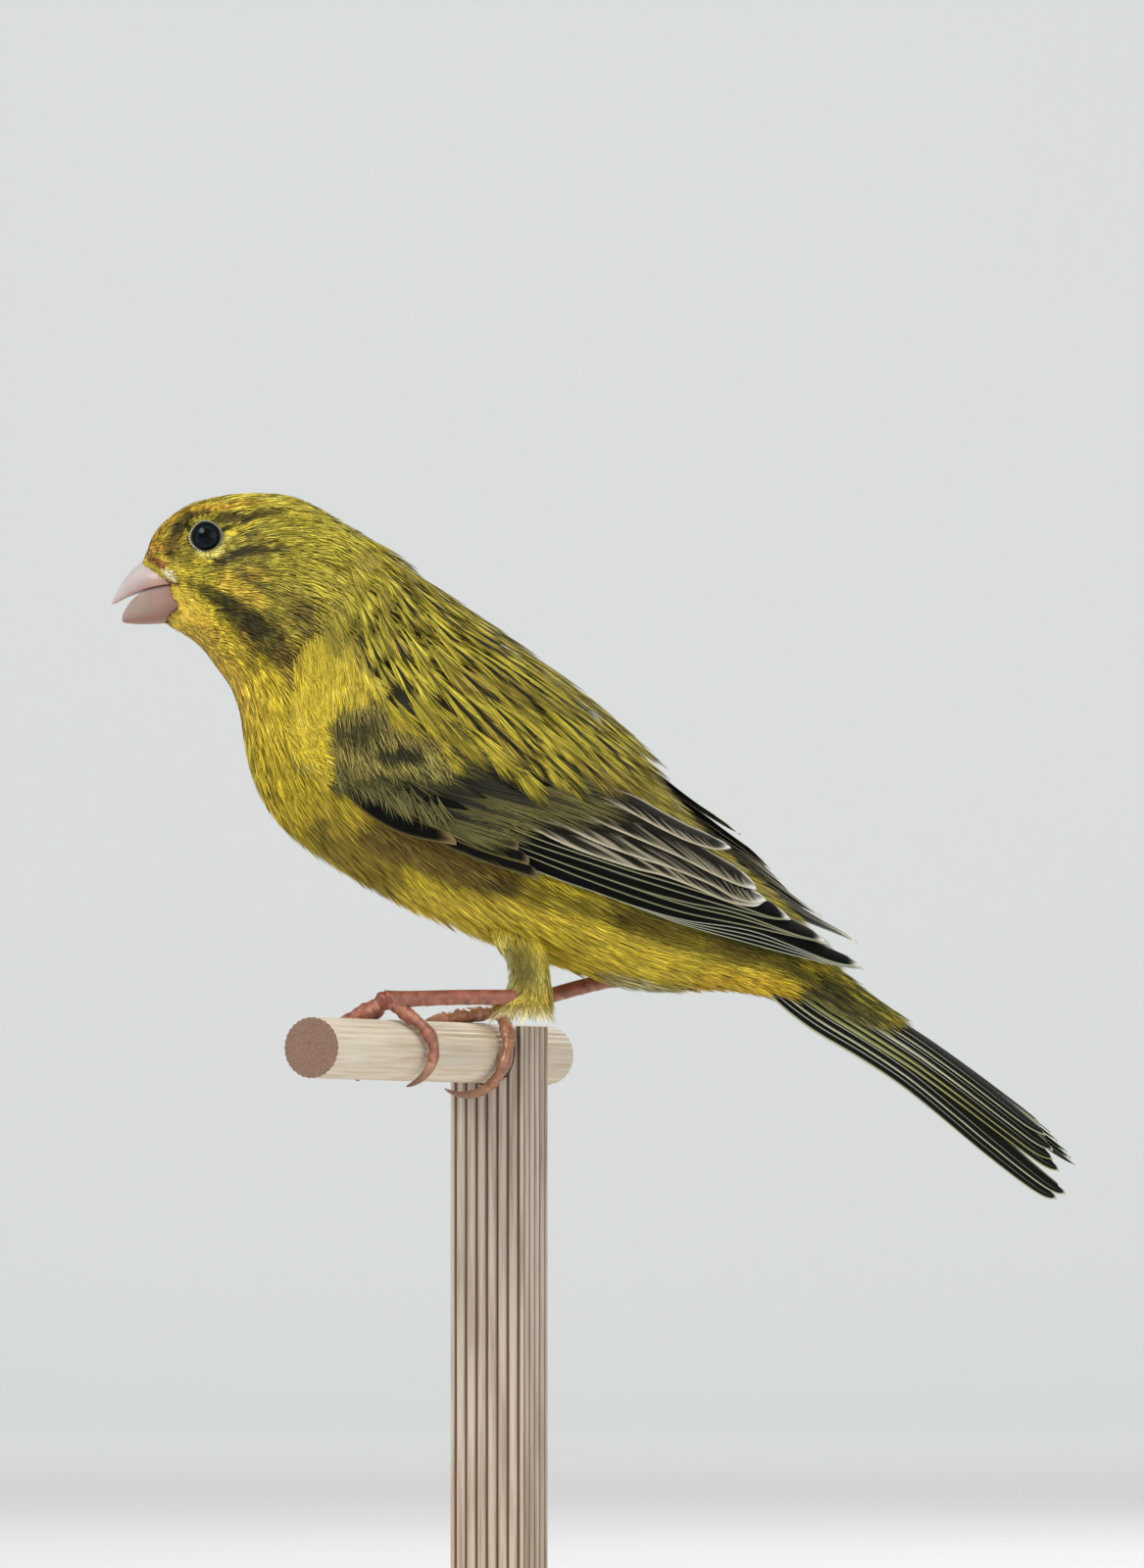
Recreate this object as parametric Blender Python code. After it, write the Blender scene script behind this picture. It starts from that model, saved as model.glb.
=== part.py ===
"""A life-size canary gripping a round perch, on a fluted post and a flat turned base.

The bird faces -X, its left side faces -Y, and +Z is up. Sizes are in millimetres and
the last step of every shape turns them into metres. The body is one smooth loft through
stations that run from the bill to the tail, parted into head, neck and trunk. Wings and
tail are curved plates let into it. The rear of the bird is rolled a little to its left.
"""

import math

import bmesh
import bpy
import numpy as np
from mathutils import Vector

METRE = 0.001  # millimetres to metres
GAP = 0.3  # clearance kept between neighbouring solids

# The straight line that the trunk, wings and tail are laid out along.
AXIS_START = np.array([-33.0, 0.0, 127.3])
BODY_SLOPE = math.radians(33.0)  # the tail end hangs below the head end
ALONG = np.array([math.cos(BODY_SLOPE), 0.0, -math.sin(BODY_SLOPE)])
DORSAL = np.array([math.sin(BODY_SLOPE), 0.0, math.cos(BODY_SLOPE)])
LEFT = np.array([0.0, -1.0, 0.0])

# The roll grows from the neck to the shoulders, and a little more along the tail.
TRUNK_ROLL = math.radians(16.0)
TRUNK_ROLL_SPAN = (-12.0, 14.0)
TAIL_ROLL = math.radians(4.0)
TAIL_ROLL_SPAN = (60.0, 95.0)

# Stations of the body: back (x, z), belly (x, z), half width. They start at the bill's base.
STATIONS = (
    ((-56.3, 141.3), (-53.4, 133.2), 3.4),
    ((-55.3, 144.4), (-51.6, 131.9), 5.6),
    ((-52.9, 147.0), (-49.3, 130.2), 7.4),
    ((-49.2, 148.9), (-47.2, 127.5), 8.7),
    ((-43.9, 149.8), (-45.4, 124.7), 9.7),
    ((-37.5, 149.4), (-44.4, 121.5), 10.3),
    ((-31.4, 146.4), (-44.0, 118.1), 11.2),
    ((-24.6, 141.9), (-43.2, 114.0), 12.7),
    ((-17.3, 136.2), (-41.1, 109.3), 14.4),
    ((-9.9, 131.0), (-36.7, 104.8), 15.6),
    ((-3.1, 125.7), (-28.9, 99.8), 16.1),
    ((3.0, 119.9), (-19.6, 95.2), 15.9),
    ((9.2, 112.9), (-9.3, 91.4), 14.8),
    ((15.9, 105.5), (1.8, 88.7), 12.4),
    ((22.7, 99.5), (11.6, 87.7), 9.6),
    ((28.8, 94.0), (19.6, 86.7), 7.0),
    ((34.3, 88.6), (25.7, 84.0), 4.9),
    ((37.0, 86.0), (30.0, 81.6), 3.9),
)
HEAD_END = 5.7  # station where the head meets the neck
NECK_END = 8.2  # station where the neck meets the trunk
BODY_SIDES = 24
RINGS_PER_STATION = 2

EYE = (-48.4, 5.35, 144.0)  # centre of the right eye; the left one mirrors it
EYE_RADIUS = 2.6

# Folded wing: distance along the axis, then the section's centre height, dorsal radius
# and side radius, then the angles of its upper and lower edges from the back's midline.
WING_KEYS = (
    (0.5, -1.5, 17.0, 15.9, 76.0, 84.0),
    (2.0, -1.6, 17.2, 16.3, 68.0, 94.0),
    (5.0, -1.8, 17.5, 17.0, 58.0, 103.0),
    (10.0, -2.0, 17.9, 17.8, 48.0, 108.5),
    (20.0, -2.8, 18.4, 18.6, 37.0, 104.0),
    (30.0, -3.0, 17.7, 18.5, 26.0, 97.0),
    (40.0, -2.8, 15.9, 17.2, 19.0, 93.0),
    (50.0, -2.3, 13.9, 15.2, 20.5, 81.0),
    (56.0, -1.7, 12.4, 13.8, 23.5, 72.5),
    (60.0, -1.2, 10.9, 12.9, 26.0, 67.0),
    (66.0, -0.6, 9.3, 11.9, 29.5, 56.5),
    (71.0, -0.2, 8.9, 11.2, 32.5, 47.0),
    (75.5, 0.1, 8.7, 10.5, 36.0, 38.0),
)
WING_ROWS, WING_COLUMNS = 26, 8
WING_THICK = ((0.0, 1.7), (30.0, 1.6), (55.0, 1.0), (76.0, 0.7))

# Tail plate: distance along the axis, height of its ridge, half width, drop of its sides.
TAIL_KEYS = (
    (64.0, 1.6, 3.2, 1.2),
    (75.0, 2.1, 4.5, 3.2),
    (90.0, 2.2, 5.8, 4.5),
    (102.0, 1.4, 6.5, 4.3),
    (113.0, 0.2, 7.1, 3.5),
)
TAIL_CENTRE_END, TAIL_SIDE_END = 107.8, 112.6
TAIL_THICK = 0.9
TAIL_ROWS, TAIL_COLUMNS = 14, 12

# Perch: a level dowel, resting in a notch in the top of the post.
DOWEL_RADIUS = 3.78
DOWEL_TURN = math.radians(27.4)  # from +Y towards +X
DOWEL_AT_POST = np.array([-11.9, 13.3, 79.5])
DOWEL_NEAR, DOWEL_FAR = -49.6, 13.2
DOWEL_RIBS, DOWEL_RIB_DEPTH = 30, 0.12
DOWEL_DIR = np.array([math.sin(DOWEL_TURN), math.cos(DOWEL_TURN), 0.0])
DOWEL_REAR = np.array([math.cos(DOWEL_TURN), -math.sin(DOWEL_TURN), 0.0])
UP = np.array([0.0, 0.0, 1.0])

POST_WIDTH, POST_DEPTH = 10.4, 7.0
POST_TOP, POST_FOOT = 82.9, 4.0
FLUTE_PITCH, FLUTE_DEPTH = 1.5, 0.32
BASE_RADIUS, BASE_THICK = 42.0, 10.0
BASE_CENTRE = (-10.0, 0.0)
BASE_EDGE = 1.6

# Legs: heel and ankle points, and where each foot holds the dowel.
LEG_RADIUS = 1.1
FOOT_BALL = 1.35
TOE_RADIUS = (0.92, 0.68)
CLAW_RADIUS = (0.5, 0.12)
TOE_ROOT = 0.45  # the part of a toe's course that leads it out of the ball
TOE_SIDES, TOE_STEPS = 8, 8
CLAW_SIDES, CLAW_STEPS = 6, 6
HEELS = {"left": (-5.9, -9.6, 86.0), "right": (4.4, 9.0, 89.3)}
# The ball of each foot: place along the dowel, angle round it (0 on top, positive to the
# rear) and distance from its axis. Each toe: place, angle and slack off the dowel's
# surface at its root, its bend and its tip, then the share of its path the claw takes.
TOES = {
    "left": {
        "ball": (-30.2, 5.0, 6.2),
        "hallux": ((-29.8, 16.0, 0.3), (-26.2, 84.0, 0.0), (-25.8, 192.0, 0.2), 0.36),
        "inner": ((-30.8, -8.0, 0.3), (-34.4, -58.0, 0.0), (-35.9, -128.0, 0.0), 0.27),
        "middle": ((-30.2, -10.0, 0.3), (-30.8, -62.0, 0.0), (-31.2, -146.0, 0.0), 0.24),
        "outer": ((-29.4, -7.0, 0.3), (-26.6, -56.0, 0.0), (-25.2, -128.0, 0.0), 0.28),
    },
    "right": {
        "ball": (-4.2, 24.0, 5.7),
        "hallux": ((-4.8, 36.0, 0.3), (-7.4, 104.0, 0.1), (-8.6, 216.0, 0.9), 0.36),
        "inner": ((-5.4, 12.0, 0.2), (-10.2, -14.0, 0.0), (-15.0, -38.0, 0.1), 0.26),
        "middle": ((-4.9, 8.0, 0.2), (-7.8, -48.0, 0.0), (-9.2, -140.0, 0.0), 0.24),
        "outer": ((-4.3, 8.0, 0.2), (-4.6, -42.0, 0.0), (-4.8, -120.0, 0.0), 0.28),
    },
}

# Feathered thighs: centre line points, then fore-and-aft and sideways half widths.
THIGHS = {
    "left": (
        ((-8.5, -8.5, 96.0), 5.0, 4.2),
        ((-7.6, -9.0, 92.6), 3.9, 3.5),
        ((-7.2, -9.4, 89.4), 2.9, 2.8),
        ((-7.2, -9.6, 86.2), 3.1, 2.5),
        ((-7.6, -9.7, 84.2), 2.5, 1.9),
    ),
    "right": (
        ((0.5, 8.6, 99.0), 5.0, 4.2),
        ((1.9, 8.9, 95.2), 3.8, 3.4),
        ((3.1, 9.0, 92.0), 2.9, 2.8),
        ((3.5, 9.0, 89.2), 2.9, 2.5),
        ((3.0, 9.0, 87.4), 2.2, 1.8),
    ),
}

# Bill: each mandible lies between an upper and a lower curve (start, bend, end), base first.
BILL_UPPER = (
    ((-56.75, 140.9), (-59.3, 139.4), (-60.5, 135.8)),
    ((-55.3, 137.5), (-57.0, 137.5), (-60.3, 135.4)),
    (3.0, 0.3),
)
BILL_LOWER = (
    ((-55.2, 137.15), (-57.5, 136.9), (-59.2, 134.4)),
    ((-54.1, 133.35), (-56.5, 133.1), (-59.0, 133.4)),
    (2.8, 0.75),
)
BILL_RINGS, BILL_SIDES = 9, 14

COLOURS = {
    "olive_feather": ((0.34, 0.30, 0.06), 0.75),
    "yellow_feather": ((0.62, 0.47, 0.05), 0.75),
    "dark_feather": ((0.06, 0.06, 0.05), 0.6),
    "bill_horn": ((0.72, 0.56, 0.53), 0.4),
    "eye": ((0.01, 0.01, 0.012), 0.08),
    "leg_skin": ((0.50, 0.22, 0.16), 0.5),
    "claw_horn": ((0.40, 0.30, 0.25), 0.35),
    "pale_wood": ((0.70, 0.58, 0.46), 0.65),
    "base_wood": ((0.60, 0.48, 0.36), 0.6),
}


# ---------------------------------------------------------------- helpers


def smoothstep(low, high, value):
    """0 below low, 1 above high, with an even slope at both ends."""
    share = np.clip((np.asarray(value, float) - low) / (high - low), 0, 1)
    return share * share * (3 - 2 * share)


def spline(keys, at):
    """Catmull-Rom curve through keys, one row per whole number, read at the numbers in at."""
    keys = np.asarray(keys, float)
    at = np.clip(np.asarray(at, float), 0, len(keys) - 1)
    start = np.minimum(at.astype(int), len(keys) - 2)
    share = (at - start)[:, None]
    before = keys[np.maximum(start - 1, 0)]
    here, there = keys[start], keys[start + 1]
    after = keys[np.minimum(start + 2, len(keys) - 1)]
    return 0.5 * (
        2 * here
        + (there - before) * share
        + (2 * before - 5 * here + 4 * there - after) * share**2
        + (3 * here - before - 3 * there + after) * share**3
    )


def keyed(keys, at):
    """Rows of keys after their first column, which is the distance, read at the distances at."""
    keys = np.asarray(keys, float)
    place = np.interp(at, keys[:, 0], np.arange(len(keys)))
    return spline(keys[:, 1:], place)


def bend(curve, share):
    """Points of the quadratic curve (start, bend, end)."""
    start, middle, end = (np.asarray(p, float) for p in curve)
    share = np.asarray(share, float)[:, None]
    return (1 - share) ** 2 * start + 2 * share * (1 - share) * middle + share**2 * end


def rolled(points):
    """Turns points about the body's axis, by the roll where each one lies along it."""
    points = np.asarray(points, float)
    offset = points - AXIS_START
    t = offset @ ALONG
    angle = TRUNK_ROLL * smoothstep(*TRUNK_ROLL_SPAN, t)
    angle = (angle + TAIL_ROLL * smoothstep(*TAIL_ROLL_SPAN, t))[..., None]
    centre = AXIS_START + t[..., None] * ALONG
    arm = points - centre
    return centre + arm * np.cos(angle) + np.cross(ALONG, arm) * np.sin(angle)


def principled(name):
    colour, roughness = COLOURS[name]
    found = bpy.data.materials.get(name)
    if found:
        return found
    made = bpy.data.materials.new(name)
    made.use_nodes = True
    shader = made.node_tree.nodes["Principled BSDF"]
    shader.inputs["Base Color"].default_value = (*colour, 1.0)
    shader.inputs["Roughness"].default_value = roughness
    made.diffuse_color = (*colour, 1.0)
    return made


def add_object(name, bm, material, smooth=True):
    """Puts a finished bmesh, still in millimetres, into the scene as a named object."""
    bmesh.ops.scale(bm, vec=(METRE,) * 3, verts=bm.verts)
    bmesh.ops.recalc_face_normals(bm, faces=bm.faces)
    mesh = bpy.data.meshes.new(name)
    bm.to_mesh(mesh)
    bm.free()
    mesh.materials.append(principled(material))
    if smooth:
        mesh.shade_smooth()
        mesh.set_sharp_from_angle(angle=math.radians(50))
    made = bpy.data.objects.new(name, mesh)
    bpy.context.scene.collection.objects.link(made)
    return made


def loft(rings, bm=None):
    """A closed bmesh bridged through equal rings of points, with its two ends capped."""
    bm = bm or bmesh.new()
    rings = np.asarray(rings, float)
    loops = []
    for ring in rings:
        verts = [bm.verts.new(point) for point in ring]
        loops.append([bm.edges.new((a, b)) for a, b in zip(verts, verts[1:] + verts[:1])])
    for first, second in zip(loops, loops[1:]):
        bmesh.ops.bridge_loops(bm, edges=first + second)
    for loop, ring in ((loops[0], rings[0]), (loops[-1], rings[-1])):
        cap = bmesh.ops.contextual_create(bm, geom=loop)["faces"]
        middle = bmesh.ops.poke(bm, faces=cap)["verts"]
        middle[0].co = ring.mean(axis=0)
    return bm


def directions(path):
    """Unit vectors along a path of points."""
    along = np.gradient(path, axis=0)
    return along / np.linalg.norm(along, axis=1)[:, None]


def tube(path, radii, sides, tangent=None):
    """Rings of a round tube along path, square to its own direction or to the tangents given."""
    tangent = directions(path) if tangent is None else tangent
    side = np.cross(tangent, DOWEL_DIR)
    side /= np.linalg.norm(side, axis=1)[:, None]
    other = np.cross(tangent, side)
    turn = np.arange(sides) * 2 * math.pi / sides
    return [
        p + r * (np.cos(turn)[:, None] * s + np.sin(turn)[:, None] * o)
        for p, r, s, o in zip(path, radii, side, other)
    ]


def plate(top, under):
    """A closed bmesh between two equal grids of points, joined round their edges."""
    rows, columns = top.shape[:2]
    bm = bmesh.new()
    faces = []
    for grid, order in ((top, 1), (under, -1)):
        verts = [[bm.verts.new(p) for p in row] for row in grid]
        faces.append(verts)
        for i in range(rows - 1):
            for j in range(columns - 1):
                quad = [verts[i][j], verts[i][j + 1], verts[i + 1][j + 1], verts[i + 1][j]]
                bm.faces.new(quad[::order])
    open_edges = [e for e in bm.edges if len(e.link_faces) == 1]
    bmesh.ops.bridge_loops(bm, edges=open_edges)
    return bm


def cut(target, cutter):
    """Takes the cutter's shape out of the target, and keeps the cutter out of the model."""
    modifier = target.modifiers.new("cut_" + cutter.name, "BOOLEAN")
    modifier.operation = "DIFFERENCE"
    modifier.object = cutter
    cutter.hide_render = True
    cutter.display_type = "WIRE"


def unite(target, others):
    """Joins other objects' shapes into the target, and keeps them out of the model."""
    for other in others:
        modifier = target.modifiers.new("join_" + other.name, "BOOLEAN")
        modifier.operation = "UNION"
        modifier.object = other
        other.hide_render = True
        other.display_type = "WIRE"


# ---------------------------------------------------------------- body


def body_rings(start, end, grow=0.0):
    """Rings of the body from one station to another, each an ellipse from back to belly."""
    count = max(3, round((end - start) * RINGS_PER_STATION) + 1)
    at = np.linspace(start, end, count)
    rows = [(*back, *belly, width) for back, belly, width in STATIONS]
    back_x, back_z, belly_x, belly_z, width = spline(rows, at).T
    back = np.stack([back_x, back_x * 0, back_z], axis=1)
    belly = np.stack([belly_x, belly_x * 0, belly_z], axis=1)
    turn = np.arange(BODY_SIDES) * 2 * math.pi / BODY_SIDES
    half = (back - belly) / 2
    tall = np.linalg.norm(half, axis=1)[:, None]
    half = half * (tall + grow) / tall
    middle = (back + belly) / 2
    rings = (
        middle[:, None]
        + half[:, None] * np.cos(turn)[None, :, None]
        + LEFT * (width + grow)[:, None, None] * np.sin(turn)[None, :, None]
    )
    return rolled(rings)


def make_body():
    """The head, neck and trunk: each starts one clearance behind the last ring before it."""
    last = len(STATIONS) - 1
    spans = {"head": (0, HEAD_END), "neck": (HEAD_END, NECK_END), "trunk": (NECK_END, last)}
    made = {}
    quarter = BODY_SIDES // 4
    for name, span in spans.items():
        rings = body_rings(*span)
        if made:
            first = rings[0]
            square = np.cross(first[0] - first[2 * quarter], first[quarter] - first[3 * quarter])
            rings[0] += GAP * square / np.linalg.norm(square)
        made[name] = add_object(name, loft(rings), "olive_feather")
    return made


def make_eyes(head):
    for side, sign in (("left", -1), ("right", 1)):
        centre = Vector((EYE[0], sign * EYE[1], EYE[2]))
        for name, radius in ((f"eye_{side}", EYE_RADIUS), (f"socket_{side}", EYE_RADIUS + GAP)):
            bm = bmesh.new()
            bmesh.ops.create_uvsphere(bm, u_segments=14, v_segments=8, radius=radius)
            bmesh.ops.translate(bm, vec=centre, verts=bm.verts)
            made = add_object(name, bm, "eye")
        cut(head, made)


def make_bill():
    for name, (upper, lower, widths) in (("bill_upper", BILL_UPPER), ("bill_lower", BILL_LOWER)):
        share = np.linspace(0, 1, BILL_RINGS)
        top, under = bend(upper, share), bend(lower, share)
        width = widths[0] + (widths[1] - widths[0]) * share**1.3
        turn = np.arange(BILL_SIDES) * 2 * math.pi / BILL_SIDES
        middle, half = (top + under) / 2, (top - under) / 2
        x = middle[:, :1] + half[:, :1] * np.cos(turn)
        z = middle[:, 1:] + half[:, 1:] * np.cos(turn)
        y = width[:, None] * np.sin(turn)
        add_object(name, loft(np.stack([x, y, z], axis=2)), "bill_horn")


# ---------------------------------------------------------------- wings and tail


def wing_grid(t_from, t_to, depth, margin=0.0):
    """A grid on the folded left wing, depth below its outer face and margin past its edges."""
    t = np.linspace(t_from, t_to, WING_ROWS)
    middle, tall, wide, upper, lower = keyed(WING_KEYS, t).T
    spread = np.degrees(margin / wide)
    share = np.linspace(0, 1, WING_COLUMNS)
    angle = np.radians((upper - spread)[:, None] * (1 - share) + (lower + spread)[:, None] * share)
    high = middle[:, None] + (tall - depth)[:, None] * np.cos(angle)
    out = (wide - depth)[:, None] * np.sin(angle)
    return AXIS_START + t[:, None, None] * ALONG + high[..., None] * DORSAL + out[..., None] * LEFT


def wing_plate(grow=0.0):
    """The folded left wing as outer and inner grids of points, before the roll."""
    t_from, t_to = WING_KEYS[0][0] - grow, WING_KEYS[-1][0] + grow
    thick = np.interp(np.linspace(t_from, t_to, WING_ROWS), *np.transpose(WING_THICK))
    outer = wing_grid(t_from, t_to, np.full(WING_ROWS, -grow), grow)
    inner = wing_grid(t_from, t_to, thick + grow, grow)
    return outer, inner


def mirrored(points):
    return points * np.array([1.0, -1.0, 1.0])


def make_wings(trunk, neck):
    for side in ("left", "right"):
        for name, grow in ((f"wing_{side}", 0.0), (f"wing_room_{side}", GAP)):
            outer, inner = wing_plate(grow)
            if side == "right":
                outer, inner = mirrored(outer), mirrored(inner)
            made = add_object(name, plate(rolled(outer), rolled(inner)), "dark_feather")
        cut(trunk, made)
        cut(neck, made)


def tail_plate(grow=0.0):
    """Upper and lower grids of the tail: a ridge whose sides drop, with a forked end."""
    across = np.linspace(-1, 1, TAIL_COLUMNS)
    share = np.linspace(0, 1, TAIL_ROWS)[:, None]
    start = TAIL_KEYS[0][0] - grow
    end = TAIL_CENTRE_END + (TAIL_SIDE_END - TAIL_CENTRE_END) * np.abs(across) ** 1.2 + grow
    t = start + (end - start) * share
    ridge, wide, drop = np.moveaxis(keyed(TAIL_KEYS, t.ravel()).reshape(*t.shape, 3), 2, 0)
    out = (wide + grow) * across
    high = ridge - drop * np.abs(out / wide) ** 1.6
    flat = AXIS_START + t[..., None] * ALONG + out[..., None] * LEFT
    top = flat + (high + grow)[..., None] * DORSAL
    under = flat + (high - TAIL_THICK - grow)[..., None] * DORSAL
    return rolled(top), rolled(under)


def make_tail(trunk):
    add_object("tail", plate(*tail_plate()), "dark_feather")
    cut(trunk, add_object("tail_room", plate(*tail_plate(1.6 * GAP)), "dark_feather"))


# ---------------------------------------------------------------- legs and feet


def on_dowel(place, degrees, radius):
    """Points beside the dowel: place along it, angle round it, distance from its axis."""
    place, radius = np.asarray(place, float), np.asarray(radius, float)
    turn = np.radians(degrees)
    return (
        DOWEL_AT_POST
        + place[..., None] * DOWEL_DIR
        + (radius * np.sin(turn))[..., None] * DOWEL_REAR
        + (radius * np.cos(turn))[..., None] * UP
    )


def toe_path(toe, ball, steps):
    """From the ball of the foot along the dowel's surface, through the toe's root and bend."""
    root, middle, tip, _ = toe
    keys = [root, middle, tip]
    share = np.linspace(0, 2, steps)
    place, degrees, slack = spline(keys, share).T
    thick = TOE_RADIUS[0] + (TOE_RADIUS[1] - TOE_RADIUS[0]) * share / 2
    path = on_dowel(place, degrees, DOWEL_RADIUS + GAP + thick + slack)
    into_ball = 1 - smoothstep(0, TOE_ROOT, share)[:, None]
    return path + (on_dowel(*ball) - path[0]) * into_ball


def make_feet():
    feet = {}
    for side, foot in TOES.items():
        ball = on_dowel(*foot["ball"])
        bm = bmesh.new()
        bmesh.ops.create_icosphere(bm, subdivisions=2, radius=FOOT_BALL)
        bmesh.ops.translate(bm, vec=Vector(ball), verts=bm.verts)
        body = add_object(f"foot_{side}", bm, "leg_skin")
        toes = []
        for digit, toe in list(foot.items())[1:]:
            path = toe_path(toe, foot["ball"], 241)
            square = directions(path)
            length = np.cumsum(np.linalg.norm(np.diff(path, axis=0, prepend=path[:1]), axis=1))
            root = (1 - toe[3]) * length[-1]
            flesh = np.searchsorted(length, np.linspace(0, root, TOE_STEPS))
            horn = np.searchsorted(length, np.linspace(root + GAP, length[-1], CLAW_STEPS))
            thick = np.linspace(*TOE_RADIUS, TOE_STEPS)
            toe_rings = tube(path[flesh], thick, TOE_SIDES, square[flesh])
            toes.append(add_object(f"{digit}_{side}", loft(toe_rings), "leg_skin"))
            thin = np.linspace(*CLAW_RADIUS, CLAW_STEPS)
            claw_rings = tube(path[horn], thin, CLAW_SIDES, square[horn])
            add_object(f"claw_{digit}_{side}", loft(claw_rings), "claw_horn")
        unite(body, toes)
        feet[side] = body
    return feet


def make_legs(feet, trunk_room):
    for side, heel in HEELS.items():
        heel = np.asarray(heel)
        ball = on_dowel(*TOES[side]["ball"])
        toward = (ball - heel) / np.linalg.norm(ball - heel)
        end = ball - toward * (FOOT_BALL + GAP)
        share = np.linspace(0, 1, 7)[:, None]
        path = heel + (end - heel) * share
        swell = 1 + 0.2 * (2 * share[:, 0] - 1) ** 4
        add_object(f"leg_{side}", loft(tube(path, LEG_RADIUS * swell, 10)), "leg_skin")
        room_path = path + toward * GAP * np.linspace(-1, 0.9, 7)[:, None]
        room = tube(room_path, LEG_RADIUS * swell + GAP, 10)
        leg_room = add_object(f"leg_room_{side}", loft(room), "leg_skin")
        rings = []
        turn = np.arange(16) * 2 * math.pi / 16
        for centre, fore, wide in THIGHS[side]:
            round_x, round_y = fore * np.cos(turn), wide * np.sin(turn)
            rings.append(np.asarray(centre) + np.stack([round_x, round_y, 0 * turn], axis=1))
        thigh = add_object(f"thigh_{side}", loft(rings), "yellow_feather")
        cut(thigh, leg_room)
        cut(thigh, trunk_room)
        cut(feet[side], leg_room)


# ---------------------------------------------------------------- perch and stand


def extruded(outline, depth, origin, across, up, out):
    """A closed bmesh: a flat outline in (across, up), pushed out by depth."""
    bm = bmesh.new()
    verts = [bm.verts.new(origin + a * across + b * up) for a, b in outline]
    face = bm.faces.new(verts)
    pushed = bmesh.ops.extrude_face_region(bm, geom=[face])["geom"]
    moved = [g for g in pushed if isinstance(g, bmesh.types.BMVert)]
    bmesh.ops.translate(bm, vec=Vector(depth * out), verts=moved)
    return bm


def dowel_outline(grow=0.0):
    """A circle with fine rounded ribs."""
    turn = np.arange(2 * DOWEL_RIBS) * math.pi / DOWEL_RIBS
    radius = DOWEL_RADIUS + grow - DOWEL_RIB_DEPTH * (np.arange(2 * DOWEL_RIBS) % 2)
    return np.stack([radius * np.cos(turn), radius * np.sin(turn)], axis=1)


def fluted_side(length):
    """Offsets along one side of the post and inwards from it, over its whole flutes."""
    count = round(length / FLUTE_PITCH)
    pitch = length / count
    start = -length / 2 + pitch * np.arange(count)
    along = (start[:, None] + pitch * np.array([0.18, 0.5, 0.82])).ravel()
    inward = np.tile([0.0, FLUTE_DEPTH, 0.0], count)
    return along, inward


def post_outline():
    """The post's section, with flutes on all four sides."""
    wide, deep = POST_WIDTH / 2, POST_DEPTH / 2
    a, inset_a = fluted_side(POST_WIDTH)
    b, inset_b = fluted_side(POST_DEPTH)
    front = np.stack([a, -deep + inset_a], axis=1)
    right = np.stack([wide - inset_b, b], axis=1)
    back = np.stack([-a, deep - inset_a], axis=1)
    left = np.stack([-wide + inset_b, -b], axis=1)
    return np.concatenate([front, right, back, left])


def make_perch_and_stand():
    near = DOWEL_AT_POST + DOWEL_NEAR * DOWEL_DIR
    length = DOWEL_FAR - DOWEL_NEAR
    dowel = extruded(dowel_outline(), length, near, DOWEL_REAR, UP, DOWEL_DIR)
    add_object("perch_dowel", dowel, "pale_wood")

    foot = DOWEL_AT_POST * np.array([1, 1, 0]) + POST_FOOT * UP
    tall = POST_TOP - POST_FOOT
    post = extruded(post_outline(), tall, foot, DOWEL_REAR, DOWEL_DIR, UP)
    post = add_object("stand_post", post, "pale_wood")

    turn = np.linspace(math.pi, 2 * math.pi, 13)
    radius = DOWEL_RADIUS + GAP
    notch = np.stack([radius * np.cos(turn), radius * np.sin(turn)], axis=1)
    notch = np.concatenate([notch, [(radius, 9.0), (-radius, 9.0)]])
    start = DOWEL_AT_POST - POST_DEPTH * DOWEL_DIR
    saddle = extruded(notch, 2 * POST_DEPTH, start, DOWEL_REAR, UP, DOWEL_DIR)
    cut(post, add_object("saddle", saddle, "pale_wood"))

    bm = bmesh.new()
    bmesh.ops.create_cone(
        bm, cap_ends=True, segments=56, radius1=BASE_RADIUS, radius2=BASE_RADIUS, depth=BASE_THICK
    )
    middle = Vector((*BASE_CENTRE, BASE_THICK / 2))
    bmesh.ops.translate(bm, vec=middle, verts=bm.verts)
    base = add_object("stand_base", bm, "base_wood")
    edge = base.modifiers.new("eased_edge", "BEVEL")
    edge.width, edge.segments = BASE_EDGE * METRE, 2
    edge.limit_method, edge.angle_limit = "ANGLE", math.radians(60)
    wide, deep = POST_WIDTH / 2 + GAP, POST_DEPTH / 2 + GAP
    square = np.array([(-wide, -deep), (wide, -deep), (wide, deep), (-wide, deep)])
    floor = foot - GAP * UP
    mortise = extruded(square, BASE_THICK, floor, DOWEL_REAR, DOWEL_DIR, UP)
    cut(base, add_object("mortise", mortise, "base_wood", smooth=False))


def main():
    for old in list(bpy.data.objects):
        bpy.data.objects.remove(old)
    body = make_body()
    make_eyes(body["head"])
    make_bill()
    make_wings(body["trunk"], body["neck"])
    make_tail(body["trunk"])
    feet = make_feet()
    room = loft(body_rings(NECK_END, len(STATIONS) - 1, 1.2 * GAP))
    make_legs(feet, add_object("trunk_room", room, "olive_feather"))
    make_perch_and_stand()


main()
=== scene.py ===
"""The canary's skin, plumage, eyes, bill, feet, wood and studio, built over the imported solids.

The bird faces -X with its left side to -Y. All shape functions work in millimetres in the
bird's own frame, before the small roll that its rear end takes; roll() then turns them.
"""

import math

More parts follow.
